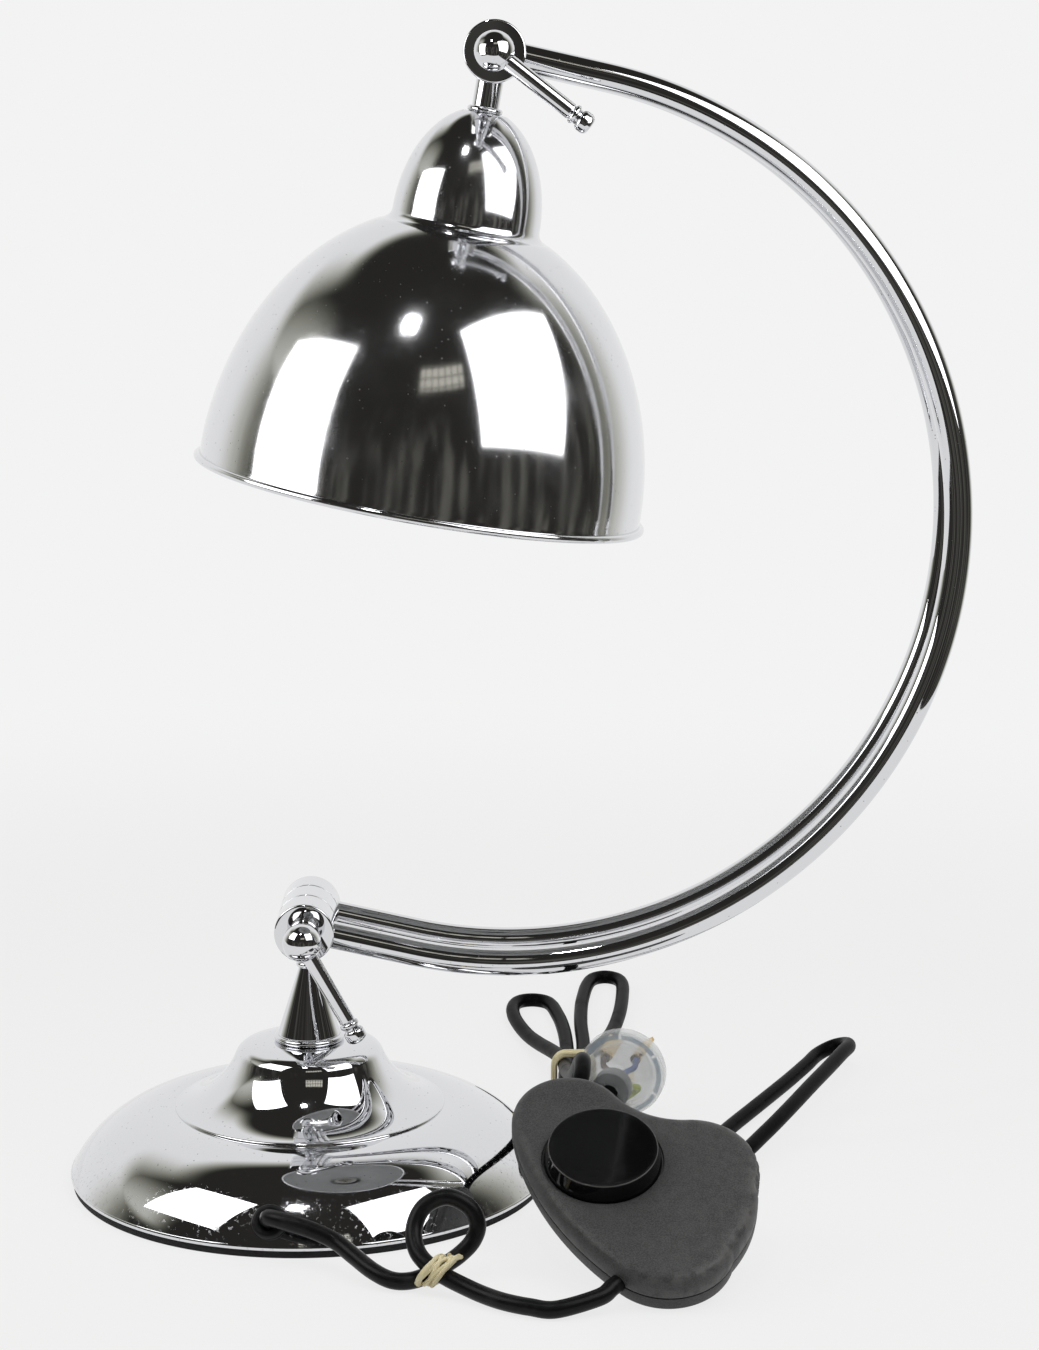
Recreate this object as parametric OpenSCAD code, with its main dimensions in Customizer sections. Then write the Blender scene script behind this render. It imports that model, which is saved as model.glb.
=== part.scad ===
// Chromed desk lamp: a weighted bell base, a bow of two bent tubes held by two
// clamped knuckles, a spun shade with an empty screw lamp holder, and a foot
// dimmer and rewirable plug on the cord.
// The origin is the centre of the base's underside. +X is the way the arm bows
// out, +Y is away from the clamp levers, +Z is up. All sizes are in millimetres.

/* [Base] */
// Diameter over the rolled lip of the base
base_d = 192; // [180:1:220]
// Sheet thickness of the spun base
base_wall = 1.2; // [0.8:0.1:1.6]
// Thickness of the rolled lip
lip_d = 2.6; // [2:0.1:3.2]
// Thickness of the pad under the base
pad_t = 2.6; // [2:0.1:4]
// How far the pad's edge sits inside the lip
pad_inset = 1; // [0.5:0.1:3]
// Radius of the convex dome between the lip and the step ring
dome_r = 46; // [42:1:70]
// Diameter of the step ring
ring_d = 108; // [98:1:118]
// Height of the step ring
ring_z = 29.5; // [26:0.5:33]
// Thickness of the step ring's bead
ring_bead_d = 2; // [1.4:0.1:2.6]
// Radius of the hollow flare above the step ring
flare_r = 34; // [30:1:44]
// Diameter of the flare's circle at the shoulder's height
shoulder_d = 61; // [56:1:68]
// Height of the shoulder
shoulder_z = 48.5; // [46:0.5:51]
// Radius of the round over the shoulder
shoulder_r = 6.5; // [4:0.5:9]
// Radius of the shallow crown between the shoulder and the seat
crown_r = 40; // [34:1:60]
// Diameter of the flat seat on top of the base
seat_d = 30; // [28:1:34]
// Height of the flat seat
seat_z = 56; // [54:0.5:59]

/* [Weight and stem fixing] */
// Diameter of the cast weight
weight_d = 166; // [140:1:170]
// Thickness of the cast weight
weight_t = 11; // [9:0.5:12]
// Outside diameter of the threaded stem tube
stem_d = 5.5; // [4.5:0.1:5.8]
// Wall of the threaded stem tube
stem_wall = 0.8; // [0.5:0.1:1]
// Width of the stem nut over its corners
nut_w = 13; // [11:0.5:15]
// Height of the stem nut
nut_h = 3.5; // [3:0.1:4]
// Diameter of the washer under the weight
washer_d = 18; // [15:0.5:20]
// Thickness of the washer under the weight
washer_t = 1.2; // [0.8:0.1:1.5]

/* [Cone] */
// Diameter of the round foot of the cone
foot_d = 28; // [26:0.5:30]
// Height of the round foot of the cone
foot_h = 2.6; // [2:0.1:4]
// Diameter of the cone where it meets its foot
cone_d = 25.6; // [23:0.2:26]
// Diameter of the cone at its top
cone_top_d = 7.6; // [7.4:0.1:9]
// Diameter of the ring at the top of the cone
cone_ring_d = 9.8; // [9:0.1:11]
// Height of the ring at the top of the cone
cone_ring_h = 2.6; // [2:0.1:3.2]
// Length of the plain neck above the ring
cone_neck_l = 2; // [1.5:0.1:3]

/* [Knuckles] */
// Diameter of both knuckles
knuckle_d = 23.5; // [22:0.1:25]
// Length of each of a knuckle's three segments
segment_l = 15.1; // [14:0.1:17]
// Height of the lower knuckle's axis
knuckle_z = 105.6; // [103:0.1:110]
// Thickness of the friction washers between the segments
friction_t = 0.55; // [0.4:0.05:1]
// Diameter of the friction washers
friction_d = 21; // [18:0.5:22]
// Bevel on the edge of a knuckle's end faces
edge_bevel = 0.8; // [0.3:0.1:1.2]
// Diameter of the clamp bolts
bolt_d = 6; // [5:0.1:6.4]
// Diameter of a clamp bolt's head
bolt_head_d = 13; // [11:0.5:15]
// Height of a clamp bolt's head
bolt_head_h = 2.4; // [2:0.1:3]
// Radial clearance of the clamp bolts in what turns on them
run_gap = 0.05; // [0.03:0.01:0.08]

/* [Clamp levers] */
// Diameter of the ball on a lever
ball_d = 15; // [14:0.1:17]
// Distance from the knuckle's end face to the ball's centre
ball_reach = 12.9; // [12:0.1:15]
// Diameter of the ringed neck behind the ball
lever_neck_d = 12; // [11:0.1:13]
// Diameter of the lever's rod
rod_d = 6.2; // [5.4:0.1:7]
// Length from the ball's centre to the end of the lever
lever_l = 45; // [40:0.5:48]
// Diameter of the end knob on the rod
rod_knob_d = 8.2; // [7.4:0.1:10]
// Slope of the lower lever below the level
lower_lever_slope = 61; // [50:1:70]
// Slope of the upper lever below the level
upper_lever_slope = 38; // [30:1:50]

/* [Arm] */
// Outside diameter of the two arm tubes
tube_d = 10.8; // [10:0.1:12]
// Wall of the arm tubes
tube_wall = 1; // [0.8:0.1:1.5]
// Radius of the arm's half-round bend
bend_r = 173; // [160:1:190]
// Straight length from a knuckle's axis to the bend
leg_l = 43; // [36:1:50]
// Slope of the arm's straight ends below the level
arm_slope = 12.5; // [8:0.5:16]

/* [Shade] */
// Tilt of the shade's axis from plumb
shade_tilt = 10; // [0:0.5:15]
// Inside diameter of the shade's mouth, under the rolled rim
mouth_d = 170.6; // [150:0.2:190]
// Depth of the large dome, from its mouth up to its centre of curvature's end
dome_h = 108; // [104:0.5:116]
// Distance from the knuckle's axis to the mouth
mouth_reach = 168; // [165:0.5:175]
// Thickness of the shade's sheet
shade_wall = 0.9; // [0.6:0.1:1.2]
// Thickness of the rolled rim
rim_d = 3; // [2.4:0.1:3.6]
// Diameter of the shade's neck
neck_d = 57; // [55:0.5:60]
// Height of the curve over the neck
neck_h = 43; // [40:0.5:46]
// Distance from the knuckle's axis to the foot of the neck
neck_reach = 64; // [63:0.5:66]
// Diameter of the shade's stem
shade_stem_d = 10.4; // [9.6:0.1:11]
// Distance from the knuckle's axis to the top of the shade
shade_top_reach = 23; // [22:0.1:25]
// Diameter of the collar on top of the shade
collar_d = 13.6; // [12:0.1:15]
// Thickness of the collar on top of the shade
collar_t = 2.4; // [2:0.1:3]
// Diameter of the threaded tube that holds the shade
nipple_d = 8; // [7:0.1:8.4]
// Wall of that tube
nipple_wall = 1.2; // [1:0.1:1.6]

/* [Lamp holder] */
// Diameter of the lamp holder's body
holder_d = 39; // [36:0.5:42]
// Length of the lamp holder's body
holder_l = 47; // [44:0.5:50]
// Diameter of the ring that clamps the holder
holder_ring_d = 46; // [43:0.5:48]
// Inside diameter of the lamp's screw shell
screw_d = 26.4; // [26:0.1:27]
// Length of the lamp's screw shell
screw_l = 30; // [26:0.5:32]
// Thickness of the screw shell's sheet
screw_wall = 0.6; // [0.4:0.1:0.8]
// Diameter of the centre contact
contact_d = 9; // [7:0.5:10]

/* [Foot dimmer] */
// Radius of the housing's rear lobe
rear_lobe_r = 21.8; // [20:0.1:24]
// Radius of the housing's side lobe
side_lobe_r = 25; // [23:0.1:27]
// Radius of the housing's front lobe
front_lobe_r = 25; // [23:0.1:27]
// Radius of the housing's long side
long_side_r = 130; // [110:1:160]
// Radius of the hollow between the rear and side lobes
hollow_r = 30; // [24:1:40]
// Thickness of the housing
housing_t = 16; // [15:0.1:19]
// Height of the parting line
parting_h = 7; // [6.6:0.1:7.4]
// Wall of the housing
housing_wall = 2.2; // [1.6:0.1:2.6]
// Slope at which the housing lies on its cord
housing_slope = 25.5; // [22:0.5:30]
// Diameter of the dimmer knob at its foot
knob_d = 44.4; // [40:0.2:48]
// Diameter of the dimmer knob's top
knob_top_d = 40.8; // [34:0.2:42]
// Height of the dimmer knob
knob_h = 7.4; // [6:0.1:9]
// Depth of the round recess under the knob
knob_recess = 1; // [0.6:0.1:1.2]
// Diameter of the knob's shaft
shaft_d = 6; // [5:0.1:6.4]
// Number of grip flutes along the side lobe
flute_count = 6; // [3:1:8]
// Depth of the grip flutes
flute_depth = 0.7; // [0.4:0.1:1]

/* [Plug] */
// Diameter of the plug's flange
flange_d = 37.2; // [34:0.2:38]
// Thickness of the plug's flange
flange_t = 8; // [7:0.1:9]
// Diameter of the plug's cover at the flange
cover_d = 32; // [30:0.2:33]
// Length of the plug's cover, without its barrel
cover_l = 7; // [6:0.1:9]
// Diameter of the plug's barrel
barrel_d = 20.8; // [19:0.2:22]
// Length of the plug's barrel
barrel_l = 19; // [18:0.5:20]
// Wall of the plug's clear mouldings
plug_wall = 2.2; // [1.8:0.1:2.6]
// Width of a plug pin
pin_w = 6.35; // [6:0.05:6.5]
// Thickness of a plug pin
pin_t = 1.6; // [1.4:0.05:1.8]
// Length of the two live pins
pin_l = 17; // [16:0.1:18]
// Length of the earth pin
earth_pin_l = 20; // [19:0.1:21]

/* [Cords] */
// Diameter of the cord
cord_d = 6.4; // [5.6:0.1:6.6]
// Radial clearance of the cord in its grommet, housing and plug
cord_gap = 0.06; // [0.05:0.01:0.1]
// Thickness of the rubber bands round the cord
band_t = 1.6; // [1:0.1:1.8]
// Width of the rubber bands
band_w = 6; // [4:0.5:8]

/* [Hidden] */
$fn = 64;
// Overlap of a cutting shape past the face it cuts
cut = 1;

// Angle of the way from a to b
function bearing(a, b) = atan2(b[1] - a[1], b[0] - a[0]);

// The point at distance ra from a and rb from b, to the left of the way from a to b
// when side is 1, and to the right when it is -1
function two_reach(a, ra, b, rb, side) =
  let (d = b - a, l = norm(d), x = (l * l + ra * ra - rb * rb) / (2 * l), y = side * sqrt(ra * ra - x * x))
  a + x * d / l + y * [-d[1], d[0]] / l;

// Points of an arc about c, from angle a0 to angle a1
function arc_about(c, r, a0, a1, n) =
  [for (i = [0:n]) c + r * [cos(a0 + (a1 - a0) * i / n), sin(a0 + (a1 - a0) * i / n)]];

// Points of the short arc about c, from the bearing of p to that of q
function arc_between(c, r, p, q, n) =
  let (a0 = bearing(c, p), turn = (bearing(c, q) - a0 + 540) % 360 - 180)
  arc_about(c, r, a0, a0 + turn, n);

// Unit normal of an open profile at point i, to the left of its direction
function profile_normal(p, i) =
  let (d = p[min(i + 1, len(p) - 1)] - p[max(i - 1, 0)])
  [-d[1], d[0]] / norm(d);

// The same profile, moved in by t to the left of its direction
function inset_profile(p, t) = [for (i = [0:len(p) - 1]) p[i] + t * profile_normal(p, i)];

function reversed(p) = [for (i = [len(p) - 1:-1:0]) p[i]];

module sheet_profile(outer, t) {
  polygon(concat(outer, reversed(inset_profile(outer, t))));
}

// Base: profile from the lip up to the flat seat
base_r = base_d / 2;
lip_top = [base_r - 0.5, pad_t + lip_d - 0.4];
ring_at = [ring_d / 2, ring_z];
ring_top = ring_at + [-ring_bead_d / 2, ring_bead_d / 2];
shoulder_at = [shoulder_d / 2, shoulder_z];
seat_at = [seat_d / 2, seat_z];
dome_c = two_reach(lip_top, dome_r, ring_at, dome_r, 1);
flare_c = two_reach(ring_top, flare_r, shoulder_at, flare_r, -1);
crown_c = seat_at - [0, crown_r];
shoulder_c = two_reach(crown_c, crown_r - shoulder_r, flare_c, flare_r + shoulder_r, 1);
base_dome = arc_between(dome_c, dome_r, lip_top, ring_at, 20);
base_flare = arc_between(flare_c, flare_r, ring_top, shoulder_c, 14);
base_shoulder = arc_between(shoulder_c, shoulder_r, flare_c, 2 * shoulder_c - crown_c, 8);
base_crown = arc_between(crown_c, crown_r, shoulder_c, seat_at, 5);
stem_fit = 0.1;
stem_hole_r = stem_d / 2 + stem_fit;
base_profile = concat(base_dome, base_flare, [for (i = [1:8]) base_shoulder[i]],
                      [for (i = [1:5]) base_crown[i]], [[stem_hole_r, seat_z]]);

// Grommet: where the dome's normal carries it
grommet_turn = -96;
grommet_r = base_d / 2 - 5.4;
grommet_rise = acos((grommet_r - dome_c[0]) / dome_r);
grommet_z = dome_c[1] + dome_r * sin(grommet_rise);
grommet_hole_r = 5;
grommet_flange_r = 6.7;
grommet_lip_r = 1.3;
cord_hole_r = cord_d / 2 + cord_gap;

module at_grommet() {
  rotate([0, 0, grommet_turn])
    translate([grommet_r, 0, grommet_z])
      rotate([0, 90 - grommet_rise, 0]) children();
}

module base_shell() {
  color("gainsboro") difference() {
    union() {
      rotate_extrude($fn = 128) sheet_profile(base_profile, base_wall);
      rotate_extrude($fn = 128) translate([base_r - lip_d / 2, pad_t + lip_d / 2]) circle(d = lip_d);
      rotate_extrude($fn = 128) translate([ring_at[0] - ring_bead_d / 2, ring_z]) circle(d = ring_bead_d);
    }
    at_grommet() cylinder(r = grommet_hole_r + cord_gap, h = 4 * base_wall, center = true);
  }
}

// Weight: a disc that stands on the pad, hollowed below for the nut and washer
weight_recess_h = washer_t + nut_h + 1;
weight_recess_d = washer_d + 3;

module weight() {
  color("dimgray") translate([0, 0, pad_t]) difference() {
    rotate_extrude() polygon([
      [0, 0], [weight_d / 2, 0], [weight_d / 2, weight_t - 2],
      [weight_d / 2 - 2, weight_t], [0, weight_t]
    ]);
    translate([0, 0, -cut]) cylinder(d = weight_recess_d, h = weight_recess_h + cut);
    translate([0, 0, -cut]) cylinder(r = stem_hole_r, h = weight_t + 2 * cut);
  }
}

module base_pad() {
  color("black") cylinder(r = base_r - pad_inset, h = pad_t, $fn = 128);
}

// Stem: the threaded tube ties the weight, base and cone to the lower hub
knuckle_r = knuckle_d / 2;
foot_z = seat_z;
cone_z = foot_z + foot_h;
cone_neck_top = knuckle_z - knuckle_r - 3.3;
cone_ring_top = cone_neck_top - cone_neck_l;
cone_top_z = cone_ring_top - cone_ring_h;
stem_bottom = pad_t + weight_recess_h - washer_t - nut_h - 0.5;
stem_top = cone_neck_top + 6.5;

module stem_tube() {
  color("silver") translate([0, 0, stem_bottom]) difference() {
    cylinder(d = stem_d, h = stem_top - stem_bottom);
    translate([0, 0, -cut]) cylinder(d = stem_d - 2 * stem_wall, h = stem_top + 2 * cut);
  }
}

module stem_washer() {
  color("silver") translate([0, 0, pad_t + weight_recess_h - washer_t]) difference() {
    cylinder(d = washer_d, h = washer_t);
    translate([0, 0, -cut]) cylinder(r = stem_hole_r, h = washer_t + 2 * cut);
  }
}

module stem_nut() {
  color("silver") translate([0, 0, pad_t + weight_recess_h - washer_t - nut_h]) difference() {
    cylinder(d = nut_w, h = nut_h, $fn = 6);
    translate([0, 0, -cut]) cylinder(r = stem_hole_r, h = nut_h + 2 * cut, $fn = 64);
  }
}

// Cone: one turned piece with a round foot, a ring and a short neck
module cone() {
  cone_r = cone_d / 2;
  foot_r = foot_d / 2;
  ring_r = cone_ring_d / 2;
  top_r = cone_top_d / 2;
  color("gainsboro") difference() {
    rotate_extrude() polygon(concat(
      [[stem_hole_r - cut / 2, foot_z]],
      arc_about([foot_r - foot_h / 2, foot_z + foot_h / 2], foot_h / 2, -90, 90, 12),
      [[cone_r, cone_z], [top_r, cone_top_z]],
      arc_about([ring_r - cone_ring_h / 2, cone_top_z + cone_ring_h / 2], cone_ring_h / 2, -90, 90, 8),
      [[top_r - 0.2, cone_ring_top], [top_r - 0.2, cone_neck_top], [stem_hole_r - cut / 2, cone_neck_top]]
    ));
    translate([0, 0, foot_z - cut]) cylinder(r = stem_hole_r, h = knuckle_z);
  }
}

// Knuckle: three segments on a clamp bolt, along Y, with friction washers between
hub_half = segment_l / 2;
face_gap = run_gap;
// Radial clearance of what is fixed in a blind hole
seat_fit = 0.02;
// Bevel on a segment's inner faces
inner_bevel = 0.2;
segment_in = hub_half + friction_t + face_gap;
segment_out = segment_in + segment_l;
tube_y = segment_in + segment_l / 2;
tube_r = tube_d / 2;
bolt_r = bolt_d / 2;
bolt_hole_r = bolt_r + run_gap;
tube_seat = bolt_r + 1.6;
lever_bore_end = segment_out + 8;

module along_y(from, to) {
  translate([0, from, 0]) rotate([-90, 0, 0]) linear_extrude(to - from) children();
}

// A segment's body, with its own bevel at each end
module segment_body(from, to, bevel_from, bevel_to) {
  translate([0, from, 0]) rotate([-90, 0, 0]) rotate_extrude() polygon([
    [bolt_hole_r, 0], [knuckle_r - bevel_from, 0], [knuckle_r, bevel_from],
    [knuckle_r, to - from - bevel_to], [knuckle_r - bevel_to, to - from], [bolt_hole_r, to - from]
  ]);
}

module at_lower() {
  translate([0, 0, knuckle_z]) children();
}

module along_arm() {
  at_lower() rotate([0, arm_slope, 0]) children();
}

module at_upper() {
  along_arm() translate([0, 0, 2 * bend_r]) rotate([0, -arm_slope, 0]) children();
}

module lower_hub() {
  color("gainsboro") difference() {
    union() {
      at_lower() segment_body(-hub_half, hub_half, inner_bevel, inner_bevel);
      translate([0, 0, cone_neck_top]) difference() {
        cylinder(r = cone_top_d / 2 - 0.2, h = knuckle_r - 1);
        translate([0, 0, -cut]) cylinder(r = stem_d / 2 + seat_fit, h = knuckle_r + cut);
      }
    }
    translate([0, 0, cone_neck_top - cut])
      cylinder(r = stem_d / 2 + seat_fit, h = stem_top - cone_neck_top + cut);
    at_lower() along_y(-hub_half - cut, hub_half + cut) circle(r = bolt_hole_r);
  }
}

// End segments: each holds one arm tube in a blind radial hole
module end_segment(sign) {
  color("gainsboro") difference() {
    if (sign < 0)
      segment_body(-segment_out, -segment_in, edge_bevel, inner_bevel);
    else
      segment_body(segment_in, segment_out, inner_bevel, edge_bevel);
    translate([tube_seat, sign * tube_y, 0]) rotate([0, 90, 0])
      cylinder(r = tube_r + seat_fit, h = knuckle_r);
  }
}

module lower_front_segment() {
  along_arm() end_segment(-1);
}

module lower_rear_segment() {
  along_arm() end_segment(1);
}

module upper_place() {
  along_arm() translate([0, 0, 2 * bend_r]) children();
}

module upper_front_segment() {
  upper_place() end_segment(-1);
}

module upper_rear_segment() {
  upper_place() end_segment(1);
}

module friction_washers() {
  color("saddlebrown") for (sign = [-1, 1])
    translate([0, sign * (segment_in - friction_t / 2), 0]) rotate([90, 0, 0]) difference() {
      cylinder(d = friction_d, h = friction_t, center = true);
      cylinder(r = bolt_hole_r, h = friction_t + 2 * cut, center = true);
    }
}

module lower_friction_washers() {
  at_lower() friction_washers();
}

module upper_friction_washers() {
  at_upper() friction_washers();
}

// Bolt: a low round head behind, and a plain end that the lever's ball turns on
module clamp_bolt() {
  color("silver") {
    along_y(-segment_out - 7, segment_out) circle(r = bolt_r);
    translate([0, segment_out, 0]) rotate([-90, 0, 0]) rotate_extrude() polygon(concat(
      [[0, 0], [bolt_head_d / 2, 0]],
      arc_about([bolt_head_d / 2 - bolt_head_h + 0.6, 0.6], bolt_head_h - 0.6, 0, 90, 8),
      [[0, bolt_head_h]]
    ));
  }
}

module lower_bolt() {
  at_lower() clamp_bolt();
}

module upper_bolt() {
  at_upper() clamp_bolt();
}

// Lever: a ball on a ringed neck, with a slim rod screwed into it
ball_r = ball_d / 2;
ball_y = -segment_out - ball_reach;
rod_seat = ball_r - 0.9;
spigot_d = rod_d - 1.4;
spigot_l = 3.4;
rod_r = rod_d / 2;

module lever_ball(slope) {
  neck_r = lever_neck_d / 2;
  neck_l = ball_reach - face_gap;
  color("gainsboro") difference() {
    union() {
      translate([0, ball_y, 0]) rotate([0, 0, 180]) sphere(r = ball_r);
      translate([0, -segment_out - face_gap, 0]) rotate([90, 0, 0]) rotate_extrude() polygon([
        [0, 0], [neck_r, 0], [neck_r, 2], [neck_r - 0.8, 2.5], [neck_r - 0.8, 3],
        [neck_r - 0.3, 3.5], [neck_r - 0.3, 4.8], [neck_r - 1.4, 6.2], [neck_r - 1.4, neck_l - 1],
        [0, neck_l]
      ]);
    }
    along_y(-lever_bore_end, -segment_out + cut) circle(r = bolt_hole_r);
    translate([0, ball_y, 0]) rotate([0, 90 + slope, 0]) {
      translate([0, 0, rod_seat]) cylinder(r = rod_r + 0.05, h = ball_r);
      translate([0, 0, rod_seat - spigot_l - 0.2]) cylinder(d = spigot_d + 0.1, h = ball_r);
    }
  }
}

module lever_rod(slope) {
  bead_r = rod_r + 0.7;
  bead_at = lever_l - 7.6;
  knob_r = rod_knob_d / 2;
  color("gainsboro") translate([0, ball_y, 0]) rotate([0, 90 + slope, 0]) rotate_extrude() polygon(concat(
    [[0, rod_seat - spigot_l], [spigot_d / 2, rod_seat - spigot_l], [spigot_d / 2, rod_seat]],
    [[rod_r, rod_seat], [rod_r - 0.1, bead_at - 1.3]],
    arc_about([bead_r - 1.1, bead_at], 1.1, -90, 90, 8),
    [[rod_r - 0.2, bead_at + 1.3], [rod_r - 0.2, bead_at + 2]],
    arc_about([knob_r - 2, lever_l - 3.4], 2, -90, 0, 6),
    arc_about([knob_r - 2.8, lever_l - 2.8], 2.8, 0, 90, 8),
    [[0, lever_l]]
  ));
}

module lower_lever_ball() {
  at_lower() lever_ball(lower_lever_slope);
}

module lower_lever_rod() {
  at_lower() lever_rod(lower_lever_slope);
}

module upper_lever_ball() {
  at_upper() lever_ball(upper_lever_slope);
}

module upper_lever_rod() {
  at_upper() lever_rod(upper_lever_slope);
}

// Arm: each tube is a half-round bend between two straight ends
module tube_run(r, past) {
  rotate([0, 90, 0]) translate([0, 0, tube_seat - past]) cylinder(r = r, h = leg_l - tube_seat + past);
  translate([leg_l, 0, bend_r]) rotate([90, 0, 0]) rotate([0, 0, -90])
    rotate_extrude(angle = 180, $fn = 128) translate([bend_r, 0]) circle(r = r);
  translate([tube_seat - past, 0, 2 * bend_r]) rotate([0, 90, 0])
    cylinder(r = r, h = leg_l - tube_seat + past);
}

module arm_tube(sign) {
  color("gainsboro") along_arm() translate([0, sign * tube_y, 0]) difference() {
    tube_run(tube_r, 0);
    tube_run(tube_r - tube_wall, cut);
  }
}

module front_tube() {
  arm_tube(-1);
}

module rear_tube() {
  arm_tube(1);
}

// Shade: measured down its own axis from the upper knuckle
module along_shade() {
  at_upper() rotate([0, shade_tilt, 0]) children();
}

// A piece turned about the shade's axis, from points of radius and reach
module turned(points) {
  along_shade() rotate_extrude($fn = 128) polygon([for (p = points) [p[0], -p[1]]]);
}

module ring_piece(inner, outer, from, to) {
  turned([[inner, from], [outer, from], [outer, to], [inner, to]]);
}

stem_from = knuckle_r - 2.2;
collar_from = shade_top_reach - collar_t;
nipple_r = nipple_d / 2;
nipple_hole_r = nipple_r + 0.05;
nipple_from = bolt_r + 3;
holder_from = shade_top_reach + 11;
nut_from = shade_top_reach + shade_wall;
nut_l = holder_from - nut_from;

module upper_hub() {
  color("gainsboro") difference() {
    at_upper() segment_body(-hub_half, hub_half, inner_bevel, inner_bevel);
    ring_piece(0, shade_stem_d / 2 + seat_fit, stem_from, knuckle_r + cut);
    ring_piece(0, nipple_r + seat_fit, nipple_from, knuckle_r + cut);
  }
}

module shade_stem() {
  color("gainsboro") ring_piece(nipple_hole_r, shade_stem_d / 2, stem_from, collar_from);
}

module shade_collar() {
  half = collar_t / 2;
  color("gainsboro") turned(concat(
    [[nipple_hole_r, collar_from]],
    arc_about([collar_d / 2 - half, collar_from + half], half, -90, 90, 8),
    [[nipple_hole_r, shade_top_reach]]
  ));
}

module shade_nipple() {
  color("goldenrod") ring_piece(nipple_r - nipple_wall, nipple_r, nipple_from, holder_from + 6);
}

module shade_nut() {
  color("silver") along_shade() translate([0, 0, -nut_from - nut_l]) difference() {
    cylinder(d = 16, h = nut_l, $fn = 6);
    translate([0, 0, -cut]) cylinder(r = nipple_hole_r, h = nut_l + 2 * cut, $fn = 64);
  }
}

// Shade profile, from the hole at its top down to the mouth
mouth_r = mouth_d / 2 + shade_wall;
// Reach at which the dome has grown to a radius
function dome_reach(r) = mouth_reach - dome_h * sqrt(1 - pow(r / mouth_r, 2));
neck_steps = 16;
dome_steps = 30;
fillet_r = 4.6;
dome_from = dome_reach(neck_d / 2 + fillet_r);
neck_to = dome_from - fillet_r;
neck_points = [for (i = [0:neck_steps])
  let (a = asin((neck_reach - shade_top_reach) / neck_h) * (1 - i / neck_steps))
  [neck_d / 2 * cos(a), neck_reach - neck_h * sin(a)]];
fillet_points = [for (i = [1:5])
  let (t = i / 6,
       a = [neck_d / 2, neck_to],
       b = [neck_d / 2, dome_from - 1.2],
       c = [neck_d / 2 + fillet_r, dome_from])
  pow(1 - t, 2) * a + 2 * t * (1 - t) * b + t * t * c];
dome_points = [for (i = [0:dome_steps])
  let (a = acos((neck_d / 2 + fillet_r) / mouth_r) * (1 - i / dome_steps))
  [mouth_r * cos(a), mouth_reach - dome_h * sin(a)]];
shade_profile = concat([[nipple_hole_r, shade_top_reach]], neck_points, fillet_points, dome_points);

module shade() {
  color("gainsboro") union() {
    along_shade() rotate_extrude($fn = 128)
      mirror([0, 1]) sheet_profile(shade_profile, shade_wall);
    along_shade() rotate_extrude($fn = 128)
      translate([mouth_r + rim_d / 2 - shade_wall, -mouth_reach - rim_d / 2 + 0.4]) circle(d = rim_d);
  }
}

// Lamp holder: a moulded cup on the nipple, clamped by a ring, with an empty screw shell
holder_to = holder_from + holder_l;
screw_to = holder_to - 1.5;
screw_from = screw_to - screw_l;
screw_out_r = screw_d / 2 + screw_wall;
holder_r = holder_d / 2;

module holder_body() {
  color("white") turned([
    [nipple_hole_r, holder_from], [holder_r - 6, holder_from], [holder_r - 1.5, holder_from + 5],
    [holder_r, holder_from + 11], [holder_r, holder_to], [screw_out_r, holder_to],
    [screw_out_r, screw_from], [contact_d / 2 + 3, screw_from], [contact_d / 2 + 3, screw_from - 3],
    [nipple_hole_r, screw_from - 3]
  ]);
}

module holder_ring() {
  from = holder_to - 16;
  color("black") turned([
    [holder_r + 0.05, from], [holder_ring_d / 2 - 1, from], [holder_ring_d / 2, from + 1],
    [holder_ring_d / 2, from + 4], [holder_r + 2, from + 5], [holder_r + 2, from + 9],
    [holder_r + 0.05, from + 9]
  ]);
}

module holder_screw_shell() {
  color("silver") ring_piece(screw_d / 2, screw_out_r, screw_from, screw_to);
}

module holder_contact() {
  contact_r = contact_d / 2;
  color("goldenrod") turned([
    [0, screw_from - 3.4], [nipple_r - nipple_wall - 0.3, screw_from - 3.4],
    [nipple_r - nipple_wall - 0.3, screw_from - 3], [contact_r, screw_from - 3],
    [contact_r, screw_from - 2.2], [contact_r - 2, screw_from - 1], [0, screw_from - 0.6]
  ]);
}

module grommet() {
  flange_lip = arc_about([grommet_flange_r - grommet_lip_r, grommet_lip_r], grommet_lip_r, -90, 90, 8);
  color("black") at_grommet() rotate_extrude() polygon(concat(
    [[cord_hole_r, -4], [grommet_flange_r - 0.6, -4], [grommet_flange_r - 0.6, -base_wall - 0.5]],
    [[grommet_hole_r, -base_wall - 0.5], [grommet_hole_r, 0]],
    flange_lip,
    [[cord_hole_r + 1.2, 2 * grommet_lip_r], [cord_hole_r, 1.4]]
  ));
}

// Foot dimmer: its outline is three lobes joined by tangents and one hollow
housing_at = [129.4, -138.5, 2.4];
rear_c = [-26.5, 78];
side_c = [19, 52];
front_c = [8, 17.5];

// Direction of the outer tangent's normal between two round lobes
function tangent_turn(c1, r1, c2, r2, side) =
  let (d = c2 - c1)
  atan2(d[1], d[0]) + side * acos((r1 - r2) / norm(d));

// Centre of the hollow, which touches the rear and side lobes from outside
hollow_c = two_reach(rear_c, rear_lobe_r + hollow_r, side_c, side_lobe_r + hollow_r, 1);
// Centre of the long side, which holds the rear and front lobes inside
long_side_c = two_reach(rear_c, long_side_r - rear_lobe_r, front_c, long_side_r - front_lobe_r, 1);
right_turn = tangent_turn(front_c, front_lobe_r, side_c, side_lobe_r, -1);
rear_turn = bearing(long_side_c, rear_c) + 360;
front_turn = bearing(long_side_c, front_c) + 360;

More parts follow.
